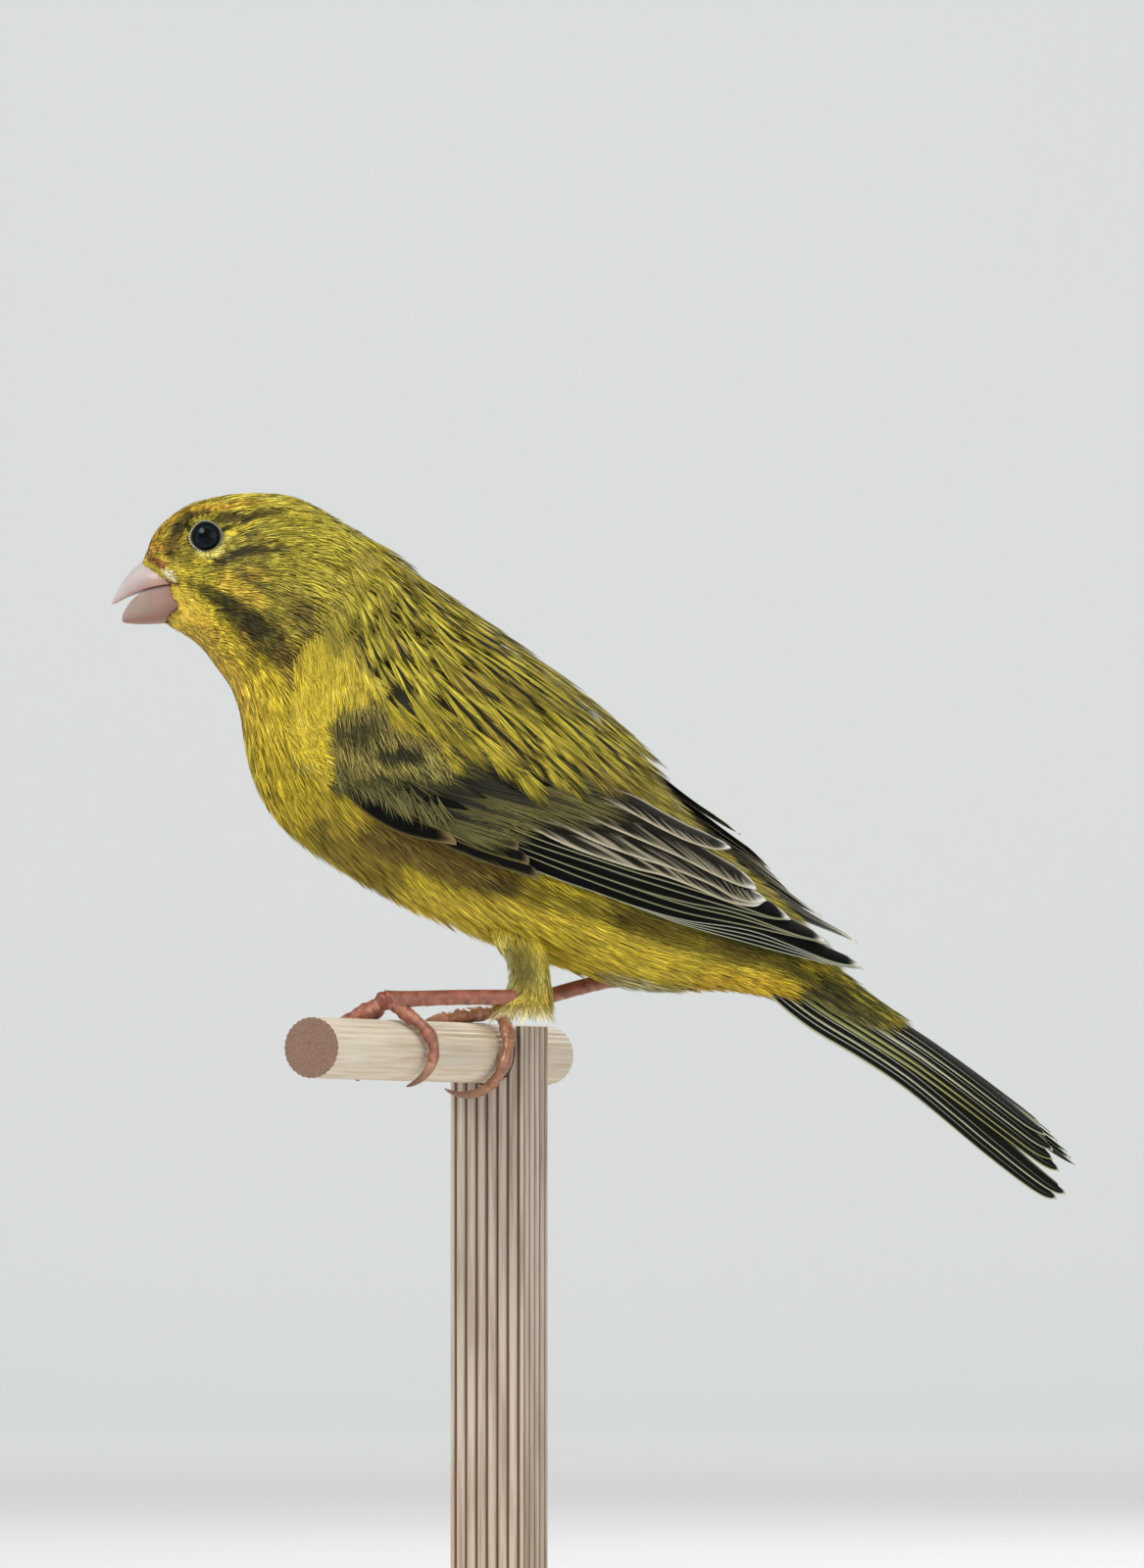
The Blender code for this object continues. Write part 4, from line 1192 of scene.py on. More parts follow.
def build_body_coat(barbs):
    """The longer, softer feathers of breast, belly, back, rump and vent."""
    soft = {"barbs": barbs, "hair": 0.08, "depth": coat_depth, "shaft": 0.3, "stray": 0.05}
    mild = plain_tint(root_shade=0.66, dark=0.4, low=0.42, high=1.15, clump=0.24)
    breast = dict(soft, length=6.0, width=1.2, lift=puff)
    add_coat("coat_breast", (7.2, 10.3), BELOW, 1200, breast, 11, mild)
    belly = dict(soft, length=lambda s, theta: 6.4 + 0.6 * (s - 10), width=1.25, lift=puff)
    add_coat("coat_belly", (9.8, 13.4), (65, 295), 1150, belly, 13, mild)
    dim = plain_tint(root_shade=0.5, dark=0.6, low=0.2, high=0.9)
    back = dict(soft, barbs=12, hair=0.12, length=6.0, width=1.6, depth=1.5)
    add_coat("coat_back", (8.0, 11.4), (-72, 72), 330, back, 21, dim)
    rump = dict(soft, length=7.5, width=1.4)
    add_coat("coat_rump", (11.0, 14.8), (-85, 85), 600, rump, 17, mild)
    vent = dict(soft, length=7.0, width=1.25, lift=puff)
    add_coat("coat_vent", (13.0, 14.9), BELOW, 700, vent, 19, mild)
    build_tail_coverts(barbs)


def build_tail_coverts(barbs):
    """Long loose feathers over the roots of the tail, olive at the sides and yellow on top."""
    u, v = even_points(330, 23)
    t = 56.0 + 21.0 * u
    across = (2 * v - 1) * np.interp(t, [56, 66, 77], [0.95, 0.8, 0.45])
    shape = {
        "barbs": barbs + 6,
        "hair": 0.05,
        "length": 8.5,
        "width": 1.0,
        "depth": 0.55,
        "lift": 0.1 + 2.6 * (1 - smooth(56, 74, t)),
        "stray": 0.06,
        "flow": -0.05 * across,
    }

    def pick(base, middle, k, rng):
        t, n = axis_view(middle)
        top = smooth(0.0, 2.5, n - 0.1 * (78 - t))
        olive = blend(paint(128, 122, 66), paint(216, 202, 72), top)
        olive = olive * strands(k, rng, dark=0.45, low=0.18, high=1.3)[..., None]
        return blend(olive, DARK * 0.4, (np.abs(k) < 0.3) * 0.85)

    made = tufts(tail_top, t, across, shape, plain_tint(0.2, dark=0.5, low=0.22, high=1.1, pick=pick), 23)
    add_feathers("coat_tail_coverts", made)


def build_mantle(barbs):
    """Mantle and scapulars over the fold: long streaked feathers in staggered rows."""
    rng = np.random.default_rng(29)
    row, column = np.meshgrid(np.arange(15), np.arange(-11, 12), indexing="ij")
    t = -5.0 + 3.0 * row + rng.normal(0, 0.9, row.shape)
    angle = np.radians(7.2) * (column + 0.5 * (row % 2)) + rng.normal(0, 0.03, row.shape)
    t, phi = t.ravel(), angle.ravel()
    edge = np.interp(t, [-12, 0, 6, 14, 22, 29, 33, 38], [84, 76, 70, 70, 58, 42, 32, 20])
    shown = (np.degrees(np.abs(phi)) < edge) & (t < 36)
    t, phi = t[shown], phi[shown]
    side = smooth(12, 45, np.degrees(np.abs(phi)))
    shape = {
        "barbs": barbs,
        "hair": 0.052,
        "fan": 0.75,
        "rise": 0.55,
        "fray": 0.16,
        "length": (5.0 + 5.0 * smooth(-4, 12, t) - 2.6 * smooth(26, 38, t)) * rng.uniform(0.85, 1.15, len(t)),
        "width": 1.1 + 0.3 * smooth(0, 20, t),
        "depth": 0.95,
        "lift": -0.8 - 0.35 * smooth(26, 44, t),
        "flow": 0.22 * np.sign(phi) * side,
        "stray": 0.04,
        "shaft": 0.5,
    }

    def pick(base, middle, k, rng):
        t, n = axis_view(middle)
        low = (1 - smooth(-3.0, 6.0, n)) * smooth(0, 8, t)
        brown = paint(150, 120, 60) * (base.sum(axis=-1, keepdims=True) / 1.1)
        base = blend(base, brown, (rng.random((len(k), 1)) < 0.2) * 0.4 + 0 * k)
        return blend(base, base * 0.5, low * 0.55)

    tint = plain_tint(1.6, 0.6, dark=0.42, low=0.2, high=1.25, core=0.25, clump=0.3, pick=pick)
    made = tufts(fold, t, phi, shape, tint, 29)
    add_feathers("coat_mantle", made)


def thigh_tint(top, heel):
    """Down that is olive in the middle, pale at the rims and palest at the heel, and takes on
    the body's own colours at the top. top and heel are the ends of the thigh's centre line."""

    def pick(base, middle, k, rng):
        light = strands(k, rng, dark=0.4, low=0.35, high=1.2)[..., None]
        x, z = middle[..., 0], middle[..., 2]
        centre = np.interp(z, [86, 99], [heel[0], top[0]])
        edge = smooth(0.6, 2.6, np.abs(x - centre))
        rim = blend(paint(206, 194, 96), paint(222, 220, 168), smooth(0.5, -2.5, x - centre))
        down = blend(paint(138, 128, 62) * light, rim * light, edge)
        above = z - (heel[2] - 1.6)
        down = blend(down, paint(222, 198, 88) * light, 0.8 * smooth(4.4, 2.0, above))
        down = blend(down, paint(236, 226, 172) * light, 0.8 * smooth(1.2, 0.0, above))
        fade = smooth(9.5, 5.0, top[2] - z + rng.normal(0, 1.0, k.shape) + 2.0 * (1 - edge))
        return blend(down, base, fade)

    return plain_tint(0.3, 0.6, pick=pick)


def build_thigh_coat(barbs):
    """Downy thigh feathers, flaring in a fringe at the heel."""
    u, v = even_points(560, 31)
    k, psi = 0.3 + 4.6 * u, 2 * math.pi * v
    low = smooth(3.0, 4.8, k)
    flare = low * smooth(0.0, 0.9, np.cos(psi))
    shape = {
        "barbs": barbs,
        "hair": 0.045,
        "length": 4.2 - 1.8 * low + 0.5 * flare,
        "width": 0.6,
        "depth": 0.9 + 0.3 * low + 0.5 * flare,
        "lift": -1.0,
        "fray": 0.25,
        "rise": 0.9 + 0.6 * low,
        "stray": 0.1,
    }
    for side, keys in THIGHS.items():
        made = tufts(thigh(side), k, psi, shape, thigh_tint(keys[0], keys[-1]), 31, rolled=False)
        add_feathers(f"coat_thigh_{side}", made, "yellow_plumage")


# ---------------- wings


VANE_THICK, VANE_STEP = 0.05, 0.01
VANE_COLUMNS = np.array([-1, -0.93, -0.82, -0.66, -0.45, -0.22, -0.06, 0, 0.06, 0.25, 0.5, 0.72, 0.88, 1])


def leaf_faces(over, rows, columns):
    """Faces of a closed leaf from those over its upper grid of points: the lower grid's, which
    come after the upper grid's and look the other way, and the walls round its rim."""
    count, last = rows * columns, (rows - 1) * columns
    rim = np.concatenate([
        np.arange(columns - 1),
        np.arange(columns - 1, last, columns),
        last + np.arange(columns - 1, 0, -1),
        np.arange(last, 0, -columns),
    ])
    after = np.roll(rim, -1)
    walls = np.stack([rim, rim + count, after + count, after], axis=1)
    return np.concatenate([over, over[:, ::-1] + count, walls])


def vane(
    edge, out_wide, in_wide, height, colour, surface, cell, seed,
    rows=64, blunt=4.0, inner_blunt=4.0, slant=2.0,
):
    """One flight feather: a leaf between its outer edge, a curve of (t, b) surface points,
    and its inner edge, square to that curve by both vane widths.

    Each width closes at the tip by the root of one less a blunt power of the length. Rows
    run forwards from the shaft as barbs do, by slant times the distance from it. The inner
    side falls away, a low ridge stands along the shaft, and a second layer closes the leaf.
    """
    rng = np.random.default_rng(900 + seed)
    across = VANE_COLUMNS
    start = np.linspace(0, 1, rows)[:, None] ** 0.85
    span = len(edge) - 1
    keys = spline(edge, np.linspace(0, span, 60))
    length = np.linalg.norm(np.diff(surface(keys[:, 0], keys[:, 1]), axis=0), axis=1).sum()

    def widths(u):
        root = 0.3 + 0.7 * smooth(0, 0.25, u)
        out_end, in_end = (np.sqrt(np.clip(1 - u**power, 0, 1)) for power in (blunt, inner_blunt))
        return out_wide * root * out_end, in_wide * root * in_end

    wide_out, wide_in = widths(start)
    from_shaft = np.where(across[None] < 0, -across[None] * wide_out, across[None] * wide_in)
    u = np.clip(start + slant * from_shaft * (1 - start**3) / length, 0, 1)
    wide_out, wide_in = widths(u)
    path = spline(edge, u * span)
    behind, before = np.maximum(u - VANE_STEP, 0), np.minimum(u + VANE_STEP, 1)
    ahead = spline(edge, before * span) - spline(edge, behind * span)
    _, scale_a, scale_b = spans(surface, path[..., 0], path[..., 1], VANE_STEP)
    scale_b = np.maximum(scale_b, 1.0)
    tangent = unit(np.stack([ahead[..., 0] * scale_a, ahead[..., 1] * scale_b], axis=-1))
    offset = wide_out * (1 + np.minimum(across, 0)) + wide_in * np.maximum(across, 0)
    a = path[..., 0] + offset * tangent[..., 1] / scale_a
    b = path[..., 1] - offset * tangent[..., 0] / scale_b
    shaft = np.exp(-((across / 0.08) ** 2)) * 0.05 * (1 - 0.7 * u)
    level = height(u) - np.where(across > 0, 0.16 * across**2, 0.02 * across**2) + shaft
    front, back = surface(a, b, level), surface(a, b, level - VANE_THICK)
    tints = colour(u, np.broadcast_to(across, offset.shape), offset, wide_out + wide_in - offset, rng)
    over = grid_faces(rows, len(across))
    faces = leaf_faces(over, rows, len(across))
    up = (surface(a, b, level + 1) - front).reshape(-1, 3)
    if outward(front.reshape(-1, 3), over, up) is not over:
        faces = faces[:, ::-1]
    weave = np.stack([start * length + 0 * offset, offset], axis=-1)
    column, total = cell
    bake = [(column + 0.5 + 0.46 * across + 0 * u) / total, 0.01 + 0.97 * start + 0 * u]
    bake = np.stack(bake, axis=-1)
    values = [np.tile(grid.reshape(offset.size, -1), (2, 1)) for grid in (tints, bake, weave)]
    points = np.concatenate([front.reshape(-1, 3), back.reshape(-1, 3)])
    return points, faces, *values


DARK_SHAFT, PALE_SHAFT = (BLACK * 0.6, 0.5, 0.07), (paint(190, 190, 172), 1.2, 0.03)


def edged(
    base, edge, tip, edge_mm, tip_share, inner_edge=0.2, ragged=0.0, lines=0.0, soft=0.3, shaft=DARK_SHAFT
):
    """Vane colours: base, a pale line of edge_mm (or a pair, at root and tip) along the outer
    side, a thinner one along the inner side and a pale rim round the tip. lines draws pale
    barbs in from the edge by turns, soft is how gently the pale line ends, and shaft gives the
    shaft's colour, strength and half width."""

    def colour(u, across, out, back, rng):
        rows = len(u)
        turn = rng.random((rows + 1, 1))
        turn = 0.7 * turn[1:] + 0.3 * turn[:-1]
        grain = rng.normal(0, ragged, (rows, 1))
        wide, thin = edge_mm if isinstance(edge_mm, tuple) else (edge_mm, edge_mm)
        line = thin + (wide - thin) * (1 - smooth(0.3, 0.7, u))
        pale = 1 - smooth(1 - soft, 1 + soft, out / line + grain)
        pale = np.maximum(pale, (1 - smooth(0.5, 1.2, back / max(inner_edge, 0.01))) * 0.8)
        far = -0.75 + 0.8 * rng.random((rows, 1))
        pale = np.maximum(pale, lines * smooth(0.45, 0.75, turn) * (1 - smooth(far - 0.2, far + 0.2, across)))
        tint = blend(base, edge, pale * smooth(0.0, 0.1, u))
        gaps = (0.15 + 0.5 * lines) * (1 - smooth(0.1, 0.5, turn)) * smooth(0.1, 0.3, out)
        tint = tint * (1 - gaps * (across < 0))[..., None]
        rim = np.minimum(out, back)
        end = smooth(1 - tip_share, 1 - tip_share * 0.2, u) * (0.2 + 0.8 * (1 - smooth(0.2, 0.9, rim)))
        tint = blend(tint, tip, np.maximum(end, smooth(1 - tip_share * 0.35, 1.0, u)))
        return blend(tint, shaft[0], (np.abs(across) < shaft[2]) * shaft[1] * (1 - u))

    return colour


def wing_edge(*points):
    """An edge drawn in the side view as (t, n) points, as coordinates on the fold."""
    points = np.asarray(points, float)
    at = np.linspace(0, len(points) - 1, 4 * len(points))
    line = spline(points, at)
    return np.stack([line[:, 0], wing_angle(line[:, 0], line[:, 1])], axis=1)


# Four of the outer edges in the stack of primaries and secondaries, lowest first, as points
# (t, n) in the side view. The edges between them are mixed from their neighbours.
WING_LOW, WING_MIDDLE, WING_HIGH, WING_TOP = np.array((
    (
        (28.0, -9.4), (37.5, -7.5), (42.7, -6.1), (48.8, -4.6),
        (54.9, -3.0), (65.0, 0.7), (73.0, 3.9), (76.4, 5.7),
    ),
    (
        (28.0, -8.0), (36.8, -6.2), (42.1, -5.0), (48.6, -3.3),
        (54.4, -1.4), (61.8, 1.9), (67.6, 4.3), (70.9, 5.6),
    ),
    (
        (28.0, -6.6), (35.6, -4.5), (42.4, -2.5), (47.9, -0.9),
        (53.4, 0.8), (58.4, 2.4), (63.4, 4.2), (65.4, 5.5),
    ),
    (
        (28.0, -4.4), (35.0, -2.9), (40.0, -1.6), (45.1, -0.1),
        (49.1, 1.2), (53.3, 2.2), (57.6, 3.2), (60.6, 5.0),
    ),
))

# Tertials, lowest first: outer and inner width, the pale tip's share, then the outer edge.
TERTIALS = (
    (2.1, 1.8, 0.26, (
        (29.0, -3.6), (37.0, -2.7), (45.1, -0.5), (49.1, 1.0),
        (53.3, 2.0), (57.4, 2.7), (60.6, 4.1), (61.4, 5.4),
    )),
    (2.0, 1.6, 0.2, (
        (29.5, -1.4), (38.6, -0.4), (44.0, 0.8), (49.5, 2.4),
        (54.4, 3.4), (58.0, 3.6), (60.4, 4.4), (61.6, 5.6),
    )),
    (2.0, 1.6, 0.16, (
        (30.0, 1.2), (38.6, 2.2), (44.0, 3.2), (49.5, 4.2),
        (54.4, 4.7), (57.6, 5.2), (59.8, 6.0),
    )),
    (1.5, 1.6, 0.14, (
        (31.0, 4.4), (40.7, 5.5), (45.8, 6.0), (49.6, 6.5),
        (52.8, 7.4), (54.3, 8.6),
    )),
)

# Outer edges of the primary coverts, lowest first, and of the alula.
PRIMARY_COVERTS = (
    ((20.1, -12.2), (28.6, -10.7), (36.4, -8.4)),
    ((19.4, -11.0), (27.6, -9.6), (34.5, -7.5)),
    ((18.8, -9.8), (26.0, -8.6), (32.4, -6.6)),
    ((18.4, -8.7), (24.6, -7.5), (30.4, -5.6)),
)
ALULA = ((8.6, -12.1), (13.6, -13.2), (19.4, -12.8), (25.6, -10.3))


def rising(level, climb, start=0.2):
    """Height of a vane over its surface: level, then up by climb from a share of its length."""
    return lambda u: level + climb * smooth(start, 1.0, u)


def stack_feathers(side):
    """Primaries and secondaries, lowest first, with black vanes and thin pale edges that part
    as they run back."""
    pairs = [(WING_LOW, WING_MIDDLE, share, 0.0) for share in (0.0, 0.25, 0.5, 0.75)]
    pairs += [(WING_MIDDLE, WING_HIGH, share, 0.45) for share in (0.0, 0.4, 0.72)]
    pairs += [(WING_HIGH, WING_TOP, share, 0.5) for share in (0.0, 0.55)]
    inner, tip = (0.14, 0.08) if side == "left" else (0.6, 0.3)
    shape = {"blunt": 9.0, "inner_blunt": 2.6, "slant": 1.6}
    found = []
    for i, (one, other, share, root) in enumerate(pairs):
        part = root if share > 0 else 0.0
        shares = part + (share - part) * smooth(44.0, 64.0, one[:, :1])
        points = one + (other - one) * shares
        points[-2:] = (one + (other - one) * share * 0.12)[-2:]
        if side == "right":
            points = points - (2.4, 0.0) * smooth(40.0, 72.0, points[:, :1])
        pale, line = (paint(172, 174, 156), 0.11) if i < 4 else (paint(148, 148, 118), 0.13)
        colour = edged(BLACK * 0.5, pale, WHITISH, line, tip, inner_edge=inner, soft=0.4)
        rise = rising(-2.1 + 0.095 * i, 0.75, 0.35)
        found.append((wing_edge(*points), 0.8, 2.9 + 0.1 * i, rise, colour, shape))
    return found


def tertial_feathers():
    """Four broad dark feathers with long frayed buff edges, the innermost on top."""
    shape = {"blunt": 6.0, "rows": 84, "slant": 3.4}
    frayed = {"inner_edge": 0.35, "ragged": 0.1, "lines": 0.6, "soft": 0.6}
    found = []
    for i, (out_wide, in_wide, tip, line) in enumerate(TERTIALS):
        colour = edged(GREY_BLACK * 0.7, BUFF, WHITISH, 0.3, tip, **frayed)
        rise = rising(-1.12 + 0.13 * i, 0.55, 0.3)
        found.append((wing_edge(*line), out_wide, in_wide, rise, colour, shape))
    return found


def small_quills():
    """Primary coverts, dim with olive edges, and the long black alula feather."""
    dim = {"inner_edge": 0.1, "ragged": 0.15, "lines": 0.2, "soft": 0.8}
    colour = edged(BLACK * 0.8, paint(104, 94, 60), paint(112, 100, 72), 0.24, 0.12, **dim)
    shape = {"blunt": 5.0, "rows": 40, "slant": 2.6}
    found = []
    for i, line in enumerate(PRIMARY_COVERTS):
        found.append((wing_edge(*line), 0.9, 1.4, rising(-1.1 + 0.1 * i, 0.3), colour, shape))
    colour = edged(BLACK * 0.5, paint(104, 86, 54), paint(126, 104, 70), 0.22, 0.16, inner_edge=0.1, soft=0.9)
    shape = {"blunt": 2.6, "inner_blunt": 2.2}
    found.append((wing_edge(*ALULA), 1.2, 2.0, rising(-0.62, 0.2), colour, shape))
    return found


def mirrored(part):
    """A part of the left side carried over to the right."""
    points, faces = part[0] * np.array([1, -1, 1]), part[1][:, ::-1]
    return (points, faces, *part[2:])


def add_on_side(name, made, side):
    """Unrolled tufts of the left side, carried to their own side and rolled there."""
    points, *rest = mirrored(made) if side == "right" else made
    add_feathers(name, (roll(points), *rest))


def add_vanes(name, feathers, surface, side, slot, nodes=()):
    """Turns a list of vanes into a finished piece. On side both, every other one is mirrored."""
    parts = []
    for i, (edge, out_wide, in_wide, height, colour, extra) in enumerate(feathers):
        cell = (i, len(feathers))
        part = vane(edge, out_wide, in_wide, height, colour, surface, cell, i, **extra)
        parts.append(mirrored(part) if side == "right" or (side == "both" and i % 2) else part)
    points, *rest = merge(parts)
    piece = new_mesh(name, roll(points), rest[0], vane_material(), *rest[1:])
    finish_piece(piece, slot, *nodes)


def wing_tint(dark, fringe, core_wide, shade=0.6, core_at=-1.0, gap=0.5, spots=(), low=0.14, clump=0.14):
    """Covert colours: pale barbs by turns over dark ones on the lower side, dark at the shaft
    and above. Each spot is a stretch in (t, n) with a radius where the feathers go black."""

    def tint(middle, k, along, rng):
        light = strands(k, rng, dark=gap, low=low, high=1.35, clump=clump)[..., None]
        edge = smooth(core_wide * 0.7, core_wide * 1.4, k - core_at + rng.normal(0, 0.1, k.shape))
        colours = blend(dark * (0.2 + 1.3 * light), fringe * light, edge)
        t, n = axis_view(middle)
        for start, end, radius in spots:
            away = off_stretch(t, n, start, end)
            colours = blend(colours, BLACK, 0.9 * (1 - smooth(0.6 * radius, 1.2 * radius, away)))
        # each barb darkens towards its root by shade: painted shade where other barbs cover it
        return colours[:, :, None] * (shade + (1 - shade) * smooth(-0.1, 0.8, along))[None, None, :, None]

    return tint


def covert_tuft(roots, tips, width, depth, lift, barbs, tint, seed, hair, fray):
    """Large coverts, each from its root to its tip as drawn in the side view."""
    phi = wing_angle(roots[:, 0], roots[:, 1])
    end = wing_angle(tips[:, 0], tips[:, 1])
    wide = keyed(FOLD, (roots[:, 0] + tips[:, 0]) / 2)[:, 2]
    shape = {
        "barbs": barbs,
        "hair": hair,
        "length": np.hypot(tips[:, 0] - roots[:, 0], (end - phi) * wide) * 1.04,
        "width": width,
        "depth": depth,
        "lift": lift,
        "flow": np.arctan2((end - phi) * wide, tips[:, 0] - roots[:, 0]),
        "stray": 0.01,
        "shaft": 0.35,
        "fan": 0.6,
        "fray": fray,
    }
    return tufts(fold, roots[:, 0], phi, shape, tint, seed, rolled=False)


# Greater and median coverts, lowest first: t and n of the root, then of the tip.
GREATER = np.array((
    (17.5, -9.6, 30.6, -6.0),
    (19.0, -7.0, 33.4, -3.4),
    (20.5, -4.4, 36.2, -0.6),
    (23.0, -1.8, 38.8, 2.2),
    (25.5, 1.0, 40.7, 4.8),
    (28.0, 3.6, 40.6, 7.2),
    (30.5, 6.2, 39.4, 9.4),
))
MEDIAN = np.array((
    (4.0, -11.0, 12.4, -11.6),
    (6.0, -9.4, 15.6, -9.8),
    (8.5, -7.6, 18.4, -7.2),
    (11.0, -5.8, 20.8, -4.4),
    (13.0, -3.8, 23.0, -1.8),
    (15.5, -1.6, 25.6, 0.6),
    (18.5, 0.8, 28.6, 3.0),
))


def covert_rows(scale):
    """Greater and median coverts, and the marginal ones over the alula's root, which end in
    pale hairs."""
    tint = wing_tint(paint(36, 34, 25), paint(114, 108, 60), 0.35, 0.4, -0.6, gap=0.45, low=0.3)
    lift, barbs = -0.85 + 0.03 * np.arange(len(GREATER)), int(72 * scale)
    greater = covert_tuft(GREATER[:, :2], GREATER[:, 2:], 2.4, 0.6, lift, barbs, tint, 41, 0.055, 0.1)

    tint = wing_tint(paint(30, 29, 21), paint(94, 90, 48), 0.3, 0.25, -0.9, gap=0.55, low=0.22)
    barbs = int(60 * scale)
    median = covert_tuft(MEDIAN[:, :2], MEDIAN[:, 2:], 2.2, 0.6, -0.6, barbs, tint, 43, 0.06, 0.12)

    tint = wing_tint(BLACK * 1.4, paint(132, 124, 74), 0.1, gap=0.6)
    t = np.linspace(8.0, 23.5, 17)
    edge = np.interp(t, [8, 10.7, 15.4, 21.8, 24], [-10.6, -11.9, -11.4, -9.6, -9.0])
    tips = np.stack([t, edge], axis=1) + 0.5 * np.stack([np.sin(5.1 * t), np.cos(3.7 * t)], axis=1)
    roots, barbs = tips - (4.2, -2.4), int(20 * scale)
    return [greater, median, covert_tuft(roots, tips, 1.2, 0.45, -0.42, barbs, tint, 45, 0.045, 0.3)]


# Black spots where the lesser coverts end: start and end as (t, n), then the radius.
LESSER_SPOTS = (
    ((11.8, -5.8), (13.2, -5.3), 1.0),
    ((14.2, -4.4), (15.6, -3.6), 1.0),
    ((18.6, -1.4), (20.4, -0.6), 0.8),
)


def lesser_tint(middle, k, along, rng):
    """Buff to yellow in front, then a dim band, a pale line and black towards the medians."""
    t, n = axis_view(middle)
    yellow = smooth(-4.5, 1.0, n - 0.35 * (t - 6)) * smooth(12.0, 4.0, t)
    shade = blend(paint(158, 144, 74), paint(238, 220, 104), yellow)
    line = n + 9.5 - 0.65 * (t - 9.5)
    dim = smooth(7.5, 3.5, np.abs(line - 5.6) * 2 + 2 * np.abs(t - 8.0))
    shade = blend(shade, paint(100, 92, 48), dim)
    pale = smooth(2.6, 1.2, np.abs(line - 0.6)) * smooth(6.0, 9.0, t)
    shade = blend(shade, paint(172, 160, 86), pale)
    shade = blend(shade, paint(60, 58, 34), smooth(-1.2, -2.6, line))
    tint = wing_tint(DARK * 0.4, shade, 0.1, shade=0.2, spots=LESSER_SPOTS, low=0.06, clump=0.4)
    return tint(middle, k, along, rng)


def lesser_coverts(scale):
    """The small scaly feathers over the wing's shoulder."""
    u, v = even_points(380, 47)
    t, n = -0.5 + 17.5 * u, -9.5 + 15.0 * v
    at = [0, 4, 9, 17]
    shown = (n > np.interp(t, at, [-8.5, -9.5, -6.4, -2.0])) & (n < np.interp(t, at, [1.5, 2.5, 0.0, 1.0]))
    t, n = t[shown], n[shown]
    shape = {
        "barbs": int(16 * scale),
        "hair": 0.055,
        "length": 5.2,
        "width": 1.1,
        "depth": 0.7,
        "fray": 0.25,
        "lift": -0.62,
        "flow": np.interp(t, [0, 5, 10, 17], [0.75, 0.55, 0.36, 0.22]),
        "stray": 0.07,
    }
    return tufts(fold, t, wing_angle(t, n), shape, lesser_tint, 47, rolled=False)


def add_coverts(side, scale):
    """All of a wing's coverts as one piece; their pale barbs stand apart on black."""
    add_on_side(f"coverts_{side}", merge([*covert_rows(scale), lesser_coverts(scale)]), side)


def add_shoulder_fringe(side, scale):
    """Breast and neck feathers that lap over the front of the folded wing in loose hairs."""
    u, v = even_points(260, 53)
    phi = np.radians(66 + 54 * v)
    degrees = np.degrees(phi)
    t = -5.0 + 6.0 * u + 4.0 * smooth(92, 118, degrees) + 3.5 * smooth(86, 66, degrees)
    shape = {
        "barbs": int(18 * scale),
        "hair": 0.055,
        "length": 5.2,
        "width": 1.1,
        "depth": 1.0,
        "fan": 0.8,
        "fray": 0.3,
        "lift": -0.75,
        "flow": 0.45 - 0.7 * smooth(80, 118, degrees),
        "stray": 0.14,
    }

    def pick(base, middle, k, rng):
        ends = smooth(-1.0, 2.0, axis_view(middle)[0]) * (rng.random(k.shape) < 0.15) * 0.5
        return blend(base, PALE_YELLOW * 0.9, ends)

    made = tufts(fold, t, phi, shape, plain_tint(0.4, 0.7, dark=0.42, low=0.3, pick=pick), 53, rolled=False)
    add_on_side(f"coat_shoulder_{side}", made, side)


# Tail feathers from the outermost to the middle one: the near side's share of the half width
# and end, then the far side's.
TAIL_FEATHERS = (
    ((1.0, 112.2), (1.0, 112.1)),
    ((0.86, 112.8), (0.88, 111.2)),
    ((0.74, 110.6), (0.76, 110.4)),
    ((0.66, 109.2), (0.6, 108.6)),
    ((0.52, 108.6), (0.44, 107.2)),
    ((0.36, 106.8), (0.24, 105.2)),
)


def build_tail():
    """Six pairs of tail feathers, the middle pair on top, each next one lower and outside, in
    two halves that part at the tips."""
    shape = {"blunt": 3.6, "inner_blunt": 2.2, "rows": 80, "slant": 1.6}
    crisp = {"inner_edge": 0.2, "ragged": 0.03, "soft": 0.5, "shaft": PALE_SHAFT}
    feathers = []
    for rank, pair in enumerate(TAIL_FEATHERS):
        olive = paint(142, 144, 92) if rank in (2, 3) else paint(176, 178, 150)
        line = (0.34 if rank in (2, 3, 4) else 0.16, 0.1)
        colour = edged(paint(17, 18, 14), olive, paint(190, 182, 164), line, 0.05, **crisp)
        for turn, (share, end) in enumerate(pair):
            edge = np.array([
                [60.0, share * (0.8 + 0.03 * rank)],
                [72.0, share * 0.98],
                [84.0, share],
                [96.0, share],
                [end - 3.0, share * 0.97],
                [end, max(share - 0.14, 0.1)],
            ])
            if turn == 0 and rank < 2:
                edge[:, 1] += 0.14 * smooth(84.0, 110.0, edge[:, 0])
            level = -0.55 + 0.11 * rank - 0.055 * turn - 0.05
            feathers.append((edge, 0.85, 2.3, rising(level, 0.0), colour, shape))
    add_vanes("tail_feathers", feathers, tail_top, "both", "dark_plumage", ("tail",))


# ---------------- eyes, bill, claws


LID_WIDTH = EYE_OPENING + 0.26
LID_SEAT = math.sqrt(EYE_RADIUS**2 - LID_WIDTH**2)


